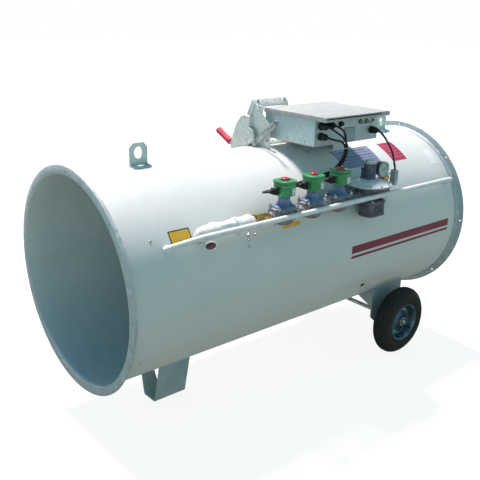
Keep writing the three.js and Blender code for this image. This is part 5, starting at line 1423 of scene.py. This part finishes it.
make("winch_housing", g, ["winch", "bolt", "hole"], replaces="winch_frame", angle=30, cut=None)

g = Geo()
c = (0, WY, WZ)
prof = [(838.2, 0), (837.6, 2.6), (838.6, 3.4), (838.6, 10.4), (837.8, 11.4), (837.8, 17.4), (839.4, 18.6), (839.4, 19.6), (837.8, 20.8), (837.8, 25.2), (838.8, 27), (845.3, 27), (845.3, 10)]
g.lathe(prof + [(884, 10), (884, 33.6), (884.8, 34.8), (887, 34.8), (888, 33.6), (888, 22)], "x", c, 64)
prof, a = [(888, 22)], 889.5
while a < 1032:
    prof += [(a, 22.0), (a + 2.2, 20.9), (a + 4.4, 22.0)]
    a += 5.0
g.lathe(prof + [(1034, 22), (1034, 33.6), (1035, 34.8), (1039, 34.8), (1040, 33.6), (1040, 10), (1053, 10), (1054, 9), (1054, 0)], "x", c, 64)
g.lathe([(835.4, 0), (835.4, 2.2), (836.0, 3.0), (838.3, 3.0), (838.3, 0)], "x", c, 20, 1)
for k in range(6):
    t = k * math.pi / 3
    g.lathe([(838.4, 0), (838.4, 1.8), (837.1, 1.5), (837.0, 0)], "x", (0, WY + 14.4 * math.sin(t), WZ + 14.4 * math.cos(t)), 12, 1)
make("winch_drum_core", g, ["winch", "bolt"], body="drum", replaces="winch_drum", angle=30)

g = Geo()
lev = [(72, 433), (51, 436), (42, 420), (51, 404), (184, 350), (198, 351), (207, 360), (202, 371), (190, 368)]
g.prism(lev, "x", 869, 875, 0, 1.3, n=3, r=[12, 12, 12, 12, 8, 9, 7, 5, 3], rn=6)
gd = Vector((0, math.cos(25 * D), math.sin(25 * D)))
gc0 = Vector((872, 208, 367.5))
g.tube([gc0 - gd * 13, gc0 + gd * 96], 5.9, 20, 0, cap=0.2)
g.lathe([(-8, 0), (-8, 9.4), (-6.4, 10.4), (-1.4, 10.4), (-0.4, 9.4), (-0.4, 0)], gd, gc0, 6, 1)
g.bolt((868.6, WY + 14, WZ - 10), (-1, 0, 0), 8, 0.3, 1, washer=0.2) if False else None
hub = Geo()
g.lathe([(867.6, 10.3), (867.6, 15.4), (868.2, 16), (876, 16), (876.8, 15.4), (876.8, 10.3)], "x", (0, WY, WZ), 40, 1, closed=True)
g.lathe([(874.6, 0), (874.6, 6.2), (877.0, 6.0), (878.2, 4.4), (878.4, 0)], "x", (0, 120, 386), 24, 1)
make("crank_arm", g, ["steel", "bolt"], body="winch_lever", replaces="winch_handle", angle=30)

g = Geo()
def rib(a, r, t):
    if 5 < a < 90 and r > 9:
        return r - 0.85 * (0.5 - 0.5 * math.cos(t * 18)) * min(1, (a - 5) / 5, (90 - a) / 5)
    return r
prof = [(0.3, 6.2), (0, 11.6), (0.6, 13.4), (2.2, 14.6), (4.4, 14.6), (5.6, 14.0)]
prof += [(6 + 2.8 * k, 14.3 - 0.5 * math.sin(math.pi * k / 30)) for k in range(31)]
prof += [(92.4, 14.2), (95.4, 13.4), (97.2, 11.8), (98, 9.4), (98, 6.2)]
g.lathe(prof, gd, gc0, 144, closed=True, mod=rib)
g.lathe([(96.6, 0), (96.6, 7.6), (99.2, 7.2), (100.0, 5.4), (100.2, 0)], gd, gc0, 24, 1)
make("crank_grip", g, ["grip", "bolt"], body="winch_lever", replaces="winch_grip", angle=50)

# brake lever: a flat bar with a slot, a rolled loop end and its pivot bolt
g = Geo()
ba = 142 * D
bn, bd = (-math.sin(ba), math.cos(ba)), (math.cos(ba), math.sin(ba))
def bp(s, t):
    return (14 + bd[0] * s + bn[0] * t, 400 + bd[1] * s + bn[1] * t)
def outline(s0, s1, half):
    """A long slot shape along the bar."""
    pts = []
    for k in range(17):
        a = (-90 + 180 * k / 16) * D
        pts.append(bp(s1 + half * math.cos(a), half * math.sin(a)))
    for k in range(17):
        a = (90 + 180 * k / 16) * D
        pts.append(bp(s0 + half * math.cos(a), half * math.sin(a)))
    return pts
def washerlike(outer_pts, inner_pts, profile):
    """Closed band between two outlines; profile holds (share from outer to inner, x)."""
    n = len(outer_pts)
    verts, faces = [], []
    for f, x in profile:
        verts += [(x, a[0] + (c[0] - a[0]) * f, a[1] + (c[1] - a[1]) * f) for a, c in zip(outer_pts, inner_pts)]
    m = len(profile)
    for i in range(m):
        i2 = (i + 1) % m
        for k in range(n):
            k2 = (k + 1) % n
            faces.append((i * n + k, i * n + k2, i2 * n + k2, i2 * n + k))
    return verts, faces
g.put(*washerlike(outline(-4, 152.4, 12.2), outline(58, 146, 5.0),
                  [(0.0, 837.6), (0.10, 836.2), (0.22, 836.2), (0.30, 837.0), (0.74, 837.0), (0.84, 836.0), (0.94, 836.2), (1.0, 837.4), (1.0, 840.8), (0.92, 841.8), (0.08, 841.8), (0.0, 840.6)]))
g.lathe([(831.2, 0), (831.2, 5.0), (832.0, 6.2), (836.6, 6.6), (836.6, 8.4), (837.6, 8.4), (837.6, 0)], "x", (0, *bp(149, 0)), 32, 0)
g.lathe([(831.4, 0), (831.4, 3.2), (830.9, 2.8), (830.9, 0)], "x", (0, *bp(149, 0)), 20, 1)
g.lathe([(832, 0), (832, 8.4), (832.8, 9), (849.0, 9), (849.6, 8.4), (849.6, 0)], "x", (0, 14, 400), 32, 0)
g.lathe([(848, 0), (848, 4.95), (868, 4.95), (868, 0)], "x", (0, 14, 400), 24, 0)
g.lathe([(829, 0), (829, 8.2), (830, 9.2), (832.6, 9.2), (832.6, 0)], "x", (0, 14, 400), 6, 0)
g.tube([(835.7, *bp(8, 9.0)), (835.7, *bp(50, 9.0))], 0.7, 6, 0, cap=0.4)
g.tube([(835.7, *bp(8, -9.0)), (835.7, *bp(50, -9.0))], 0.7, 6, 0, cap=0.4)
make("brake_bar", g, ["steel", "hole"], body="brake_lever", replaces="winch_brake_lever", angle=30)

# ------------------------------------------------------------------ inside the casing
g = Geo()
for r, wr in ((290, 3.0), (205, 3.0), (120, 3.0)):
    g.ring("x", (L - 21, 0, 0), r, wr, 128, 10)
g.ring("x", (L - 20, 0, 0), RI - 7, 4.4, 160, 12)
for k in range(6):
    t = (30 + 60 * k) * D
    d = Vector((0, -math.sin(t), math.cos(t)))
    c0 = Vector((L - 16.2, 0, 0))
    g.tube([c0 + d * 20, c0 + d * 150, c0 + d * (RI - 14), c0 + d * (RI - 4) + Vector((-4, 0, 0))], 2.9, 12, 0, cap=0.3)
for k in range(24):
    t = (7.5 + 15 * k) * D
    if k % 4 == 1:
        continue
g.lathe([(L - 26, 0), (L - 26, 30), (L - 24.6, 33), (L - 18, 34), (L - 15.6, 32), (L - 14.4, 26), (L - 14, 0)], "x", (0, 0, 0), 48, 0)
g.bolt((L - 14.2, 0, 0), "x", 13, 4.6, 1, washer=1.4)
for k in range(6):
    t = (60 * k) * D
    d = Vector((0, -math.sin(t), math.cos(t)))
    g.box(-1, 1, -1, 1, -1, 1) if False else None
make("wire_guard", g, ["galv", "bolt"], replaces="inlet_guard", angle=40)

refined("motor_channel", "motor_mount", ["galv"], width=0.8)

g = Geo()
mc = (0, 0, 0)
prof = [(1498.2, 0), (1498.2, 22), (1499.6, 24), (1499.6, 62), (1500.6, 70), (1508, 90.6), (1512, 92.6), (1540, 94)]
a = 1546
while a < 1694:
    prof += [(a, 93.0), (a + 1.0, 98), (a + 3.4, 98), (a + 4.4, 93.0)]
    a += 9.0
prof += [(1700, 94), (1702, 97), (1708, 97), (1718, 88), (1727, 52), (1730, 40), (1730, 0)]
g.lathe(prof, "x", mc, 72)
for x in (1546, 1674):
    for s in (-1, 1):
        g.prism([(s * 40, -82), (s * 82, -114.6), (s * 82, -106), (s * 60, -72)], "x", x - 9, x + 9, 0, 1.6)
        g.bolt((x, s * 74, -106.4), "z", 12, 6, 1, washer=1.6, start=x)
    g.box(x - 10, x + 10, -82, 82, -114.6, -108, 0, 1.0)
g.box(1580, 1650, 80, 122, -28, 46, 0, 2.4, plane="x")
g.box(1578, 1652, 121, 128, -30, 48, 0, 1.6, plane="y")
for x in (1586, 1644):
    for z in (-22, 40):
        g.screw((x, 128, z), "y", 3, 1.8, 1, start=x)
g.lathe([(-32, 0), (-32, 9), (-44, 9), (-46, 7), (-46, 0)], "z", (1615, 104, 0), 6, 2)
for k in range(8):
    t = k * math.pi / 4 + 0.2
    g.bolt((1504.6, 74 * math.cos(t), 74 * math.sin(t)), (-1, 0.35 * math.cos(t), 0.35 * math.sin(t)), 9, 4, 1, washer=1)
for k in range(20):
    t = k * math.pi / 10
    g.tube([(1712, 84 * math.cos(t), 84 * math.sin(t)), (1722, 60 * math.cos(t), 60 * math.sin(t))], 2.0, 6, 2, cap=0.4)
make("motor_body", g, ["motor", "bolt", "hole"], replaces="fan_motor", angle=32)

g = Geo()
g.lathe([(1392.4, 0), (1392.4, 4), (1393.4, 4), (1393.4, 12.4), (1394.4, 13.6), (1398, 13.9), (1470, 13.9), (1471, 13.2), (1473, 13.2), (1474, 13.9), (1497.6, 13.9), (1497.6, 0)], "x", mc, 48)
g.lathe([(1386.8, 0), (1386.8, 8), (1388, 10.4), (1393, 10.4), (1393, 0)], "x", mc, 6)
make("shaft_core", g, ["steel"], body="fan", replaces="fan_shaft")

g = Geo()
g.lathe([(1400.2, 14.3), (1400.2, 32), (1401, 40), (1406, 58), (1412, 71), (1417, 76.6), (1422, 78), (1466, 78), (1469, 76.4), (1470, 73), (1470, 14.3)], "x", mc, 72, 0, closed=True)
for i in range(6):
    t0 = i * 60 * D
    ct, st = math.cos(t0), math.sin(t0)
    nu, nv = 22, 16
    verts, faces = [], []
    for side in (1, -1):
        for a in range(nu + 1):
            f = a / nu
            rad = 72 + 281 * f
            ang = (52 - 26 * f) * D
            half = 75 * (0.62 + 0.38 * f)
            for b in range(nv + 1):
                v = -1 + 2 * b / nv
                rr = rad
                hv = half
                if f > 0.9:
                    hv = half * (1 - 0.30 * ((f - 0.9) / 0.1) ** 2)
                y = v * hv
                camber = 7.0 * (1 - v * v)
                px = y * math.sin(ang) * 0.62 + camber * math.cos(ang) * 0.5
                py = y * math.cos(ang)
                x = 1440 + px + side * 1.2 * math.cos(ang) * (1 - 0.8 * abs(v) ** 6)
                x = min(max(x, 1392), 1486)
                k2 = min(rr, 353.5)
                z = math.sqrt(max(k2 * k2 - py * py * 0.9, 60 * 60)) if f > 0.2 else k2
                verts.append((x, py * ct - z * st, py * st + z * ct))
    m = nv + 1
    half_n = (nu + 1) * m
    for a in range(nu):
        for b in range(nv):
            q = (a * m + b, a * m + b + 1, (a + 1) * m + b + 1, (a + 1) * m + b)
            faces.append(q)
            faces.append(tuple(half_n + j for j in reversed(q)))
    edge = [a * m for a in range(nu + 1)] + [nu * m + b for b in range(1, m)] + [a * m + nv for a in range(nu - 1, -1, -1)] + [b for b in range(nv - 1, 0, -1)]
    for k in range(len(edge)):
        a, b = edge[k], edge[(k + 1) % len(edge)]
        faces.append((a, b, half_n + b, half_n + a))
    g.put(verts, faces)
    d = Vector((0, -st, ct))
    for q in (-1, 1):
        e = Vector((0, ct, st))
        g.bolt(Vector((1412, 0, 0)) + d * 74 + e * q * 9 + Vector((0, 0, 0)), d, 9, 4, 1, washer=1, start=q)
g.lathe([(1396.6, 14.3), (1396.6, 24), (1398, 27), (1401.4, 27), (1401.4, 14.3)], "x", mc, 40, 1, closed=True)
make("fan_blades", g, ["galv", "steel"], body="fan", replaces="fan_rotor", angle=34)

g = Geo()
k0, k1 = Vector((302, TY, TZ)) + pd * 26.4, Vector((302, TY, TZ)) + pd * 146
path = filleted([k0, k1, Vector((860, k1.y, k1.z)), Vector((945, -60, 50)), Vector((945, 0, 0)), Vector((866, 0, 0))], 46, 8, closed=False)
g.tube(path, 16, 28, 1)
for s in (390, 560, 760):
    g.lathe([(s, 15.6), (s, 19), (s + 1.4, 20), (s + 22.6, 20), (s + 24, 19), (s + 24, 15.6)], "x", (0, k1.y, k1.z), 28, 1, closed=True)
hp = [(742, 0), (742, 10), (744, 11), (744, 40), (743, 44), (744.4, 46.6), (752, 59), (756, 61.4), (790, 62)]
for k in range(7):
    a = 794 + 9 * k
    hp += [(a, 62), (a + 1, 60.6), (a + 3, 60.6), (a + 4, 62)]
hp += [(862, 61.6), (868, 56), (870, 50), (870, 0)]
g.lathe(hp, "x", mc, 72)
for ring, n, rr in ((34, 14, 3.0), (22, 9, 2.8)):
    for k in range(n):
        t = 2 * math.pi * k / n
        g.lathe([(743.2, 0), (743.2, rr), (744.6, rr), (744.6, 0)], "x", (0, ring * math.sin(t), ring * math.cos(t)), 14, 2)
for k in range(8):
    t = 2 * math.pi * k / 8
    d = Vector((0, math.sin(t), math.cos(t)))
    g.lathe([(60.6, 0), (60.6, 5), (62.4, 5), (62.4, 0)], d, Vector((772, 0, 0)), 14, 2)
make("burner_assembly", g, ["hot", "cast", "hole"], replaces="burner_head", angle=32)

g = Geo()
g.lathe([(880, 66.4), (880, 76.6), (879, 78), (700, 251.4), (697.4, 253.4), (694, 252.8), (692.6, 250.6), (693.6, 248.2), (696.4, 247.6), (698.4, 247.4), (873.4, 75), (873.4, 66.4)], "x", mc, 144, 0, closed=True)
for k in range(24):      # pressed slots round the cone
    t = 2 * math.pi * k / 24
    d = Vector((0, math.sin(t), math.cos(t)))
    g.tube([Vector((845, 0, 0)) + d * 112.4, Vector((770, 0, 0)) + d * 184.4], 2.6, 8, 0, cap=0.8)
for k in range(4):
    t = (k * 90 + 45) * D
    d, e = Vector((0, -math.sin(t), math.cos(t))), Vector((0, math.cos(t), math.sin(t)))
    mx = Matrix((Vector((1, 0, 0)), e, d)).transposed().to_4x4()
    a = Geo().box(697, 727, -2, 2, 246, 377.6, 0, 0.9, plane="z")
    a.box(697, 727, -12, 12, 373.4, 377.2, 0, 0.8)
    a.bolt((704, -6, 373.6), (0, 0, -1), 9, 4, 1, washer=1)
    a.bolt((704, 6, 373.6), (0, 0, -1), 9, 4, 1, washer=1)
    a.bolt((712, 2, 262), (0, 1, 0), 9, 4, 1, washer=1)
    g.merge(a, mx)
make("mixing_shroud", g, ["hot", "bolt"], replaces="mixing_cone", angle=32)

g = Geo()
q = (0, 84, 40)
g.lathe([(700, 0), (700, 4), (704, 5), (756, 5), (757.4, 7.6), (760, 9), (764, 9), (765.4, 7.8), (768, 7.8), (769.4, 9), (774, 9), (775.4, 7.8), (778, 7.8), (779.4, 9), (788, 9), (790, 7), (791, 5), (800, 5), (800, 0)], "x", q, 36)
g.lathe([(682, 0), (682, 2), (701, 2), (701, 0)], "x", q, 16, 1)
g.tube([(684, 84, 40), (681, 83, 39), (679.6, 78, 36), (681, 74, 33)], 1.6, 10, 1, cap=0.4)
g.lathe([(766.4, 0), (766.4, 11), (769, 11), (769, 0)], "x", q, 6, 1) if False else None
make("igniter_rod", g, ["ceramic", "steel"], replaces="spark_igniter", angle=40)

# ------------------------------------------------------------------ floor, light, finish
fm = bpy.data.materials.new("pale_floor")
fm.use_nodes = True
nt = fm.node_tree
b = nt.nodes["Principled BSDF"]
nz = nt.nodes.new("ShaderNodeTexNoise")
nz.inputs["Scale"].default_value = 3.0
rp = nt.nodes.new("ShaderNodeValToRGB")
rp.color_ramp.elements[0].color = (0.93, 0.93, 0.93, 1)
rp.color_ramp.elements[1].color = (0.95, 0.95, 0.95, 1)
dim = nt.nodes.new("ShaderNodeMix")
dim.data_type, dim.blend_type = "RGBA", "MULTIPLY"
dim.inputs[0].default_value = 1.0
dim.inputs[7].default_value = (0.16, 0.16, 0.16, 1)
nt.links.new(nz.outputs[0], rp.inputs[0])
nt.links.new(rp.outputs[0], dim.inputs[6])
nt.links.new(dim.outputs[2], b.inputs["Base Color"])
nt.links.new(rp.outputs[0], b.inputs["Emission Color"])
b.inputs["Emission Strength"].default_value = 0.95
b.inputs["Roughness"].default_value = 0.9
floor = bpy.data.meshes.new("floor")
floor.from_pydata([(-30, -30, -0.0008), (30, -30, -0.0008), (30, 30, -0.0008), (-30, 30, -0.0008)], [], [(0, 1, 2, 3)])
floor.materials.append(fm)
fo_ = bpy.data.objects.new("floor", floor)
bpy.context.scene.collection.objects.link(fo_)
fo_.visible_diffuse = False
fo_.visible_glossy = False


def sun(name, direction, energy, angle, color):
    d = bpy.data.lights.new(name, "SUN")
    d.energy, d.angle, d.color = energy, angle * D, color
    o = bpy.data.objects.new(name, d)
    bpy.context.scene.collection.objects.link(o)
    v = Vector(direction).normalized()
    o.rotation_euler = v.to_track_quat("Z", "Y").to_euler()
    return o


sun("key", (0.04, 0.455, 1.0), 5.9, 8, (1.0, 0.86, 0.835))

world = bpy.data.worlds.new("studio")
bpy.context.scene.world = world
world.use_nodes = True
nt = world.node_tree
nt.nodes.clear()
out = nt.nodes.new("ShaderNodeOutputWorld")
lp = nt.nodes.new("ShaderNodeLightPath")
mixs = nt.nodes.new("ShaderNodeMixShader")
bg1, bg2 = nt.nodes.new("ShaderNodeBackground"), nt.nodes.new("ShaderNodeBackground")
tc = nt.nodes.new("ShaderNodeTexCoord")
sx = nt.nodes.new("ShaderNodeSeparateXYZ")
ramp = nt.nodes.new("ShaderNodeValToRGB")
SKY = ((0.0, (0.18, 0.20, 0.18)), (0.38, (0.38, 0.42, 0.38)), (0.47, (0.58, 0.66, 0.63)), (0.60, (0.52, 0.72, 0.78)), (0.72, (0.18, 0.34, 0.43)), (1.0, (0.10, 0.25, 0.34)))
stops = ramp.color_ramp.elements
while len(stops) < len(SKY):
    stops.new(0.5)
for stop, (at, tint) in zip(stops, SKY):
    stop.position, stop.color = at, (*tint, 1)
mr = nt.nodes.new("ShaderNodeMapRange")
mr.inputs["From Min"].default_value, mr.inputs["From Max"].default_value = -1, 1
nt.links.new(tc.outputs["Generated"], sx.inputs[0])
nt.links.new(sx.outputs[2], mr.inputs["Value"])
nt.links.new(mr.outputs[0], ramp.inputs[0])
nt.links.new(ramp.outputs[0], bg1.inputs["Color"])
bg1.inputs["Strength"].default_value = 1.0
bg2.inputs["Color"].default_value = (1, 1, 1, 1)
bg2.inputs["Strength"].default_value = 1.0
nt.links.new(lp.outputs["Is Camera Ray"], mixs.inputs[0])
nt.links.new(bg1.outputs[0], mixs.inputs[1])
nt.links.new(bg2.outputs[0], mixs.inputs[2])
nt.links.new(mixs.outputs[0], out.inputs[0])
bpy.context.scene.view_settings.view_transform = "Standard"
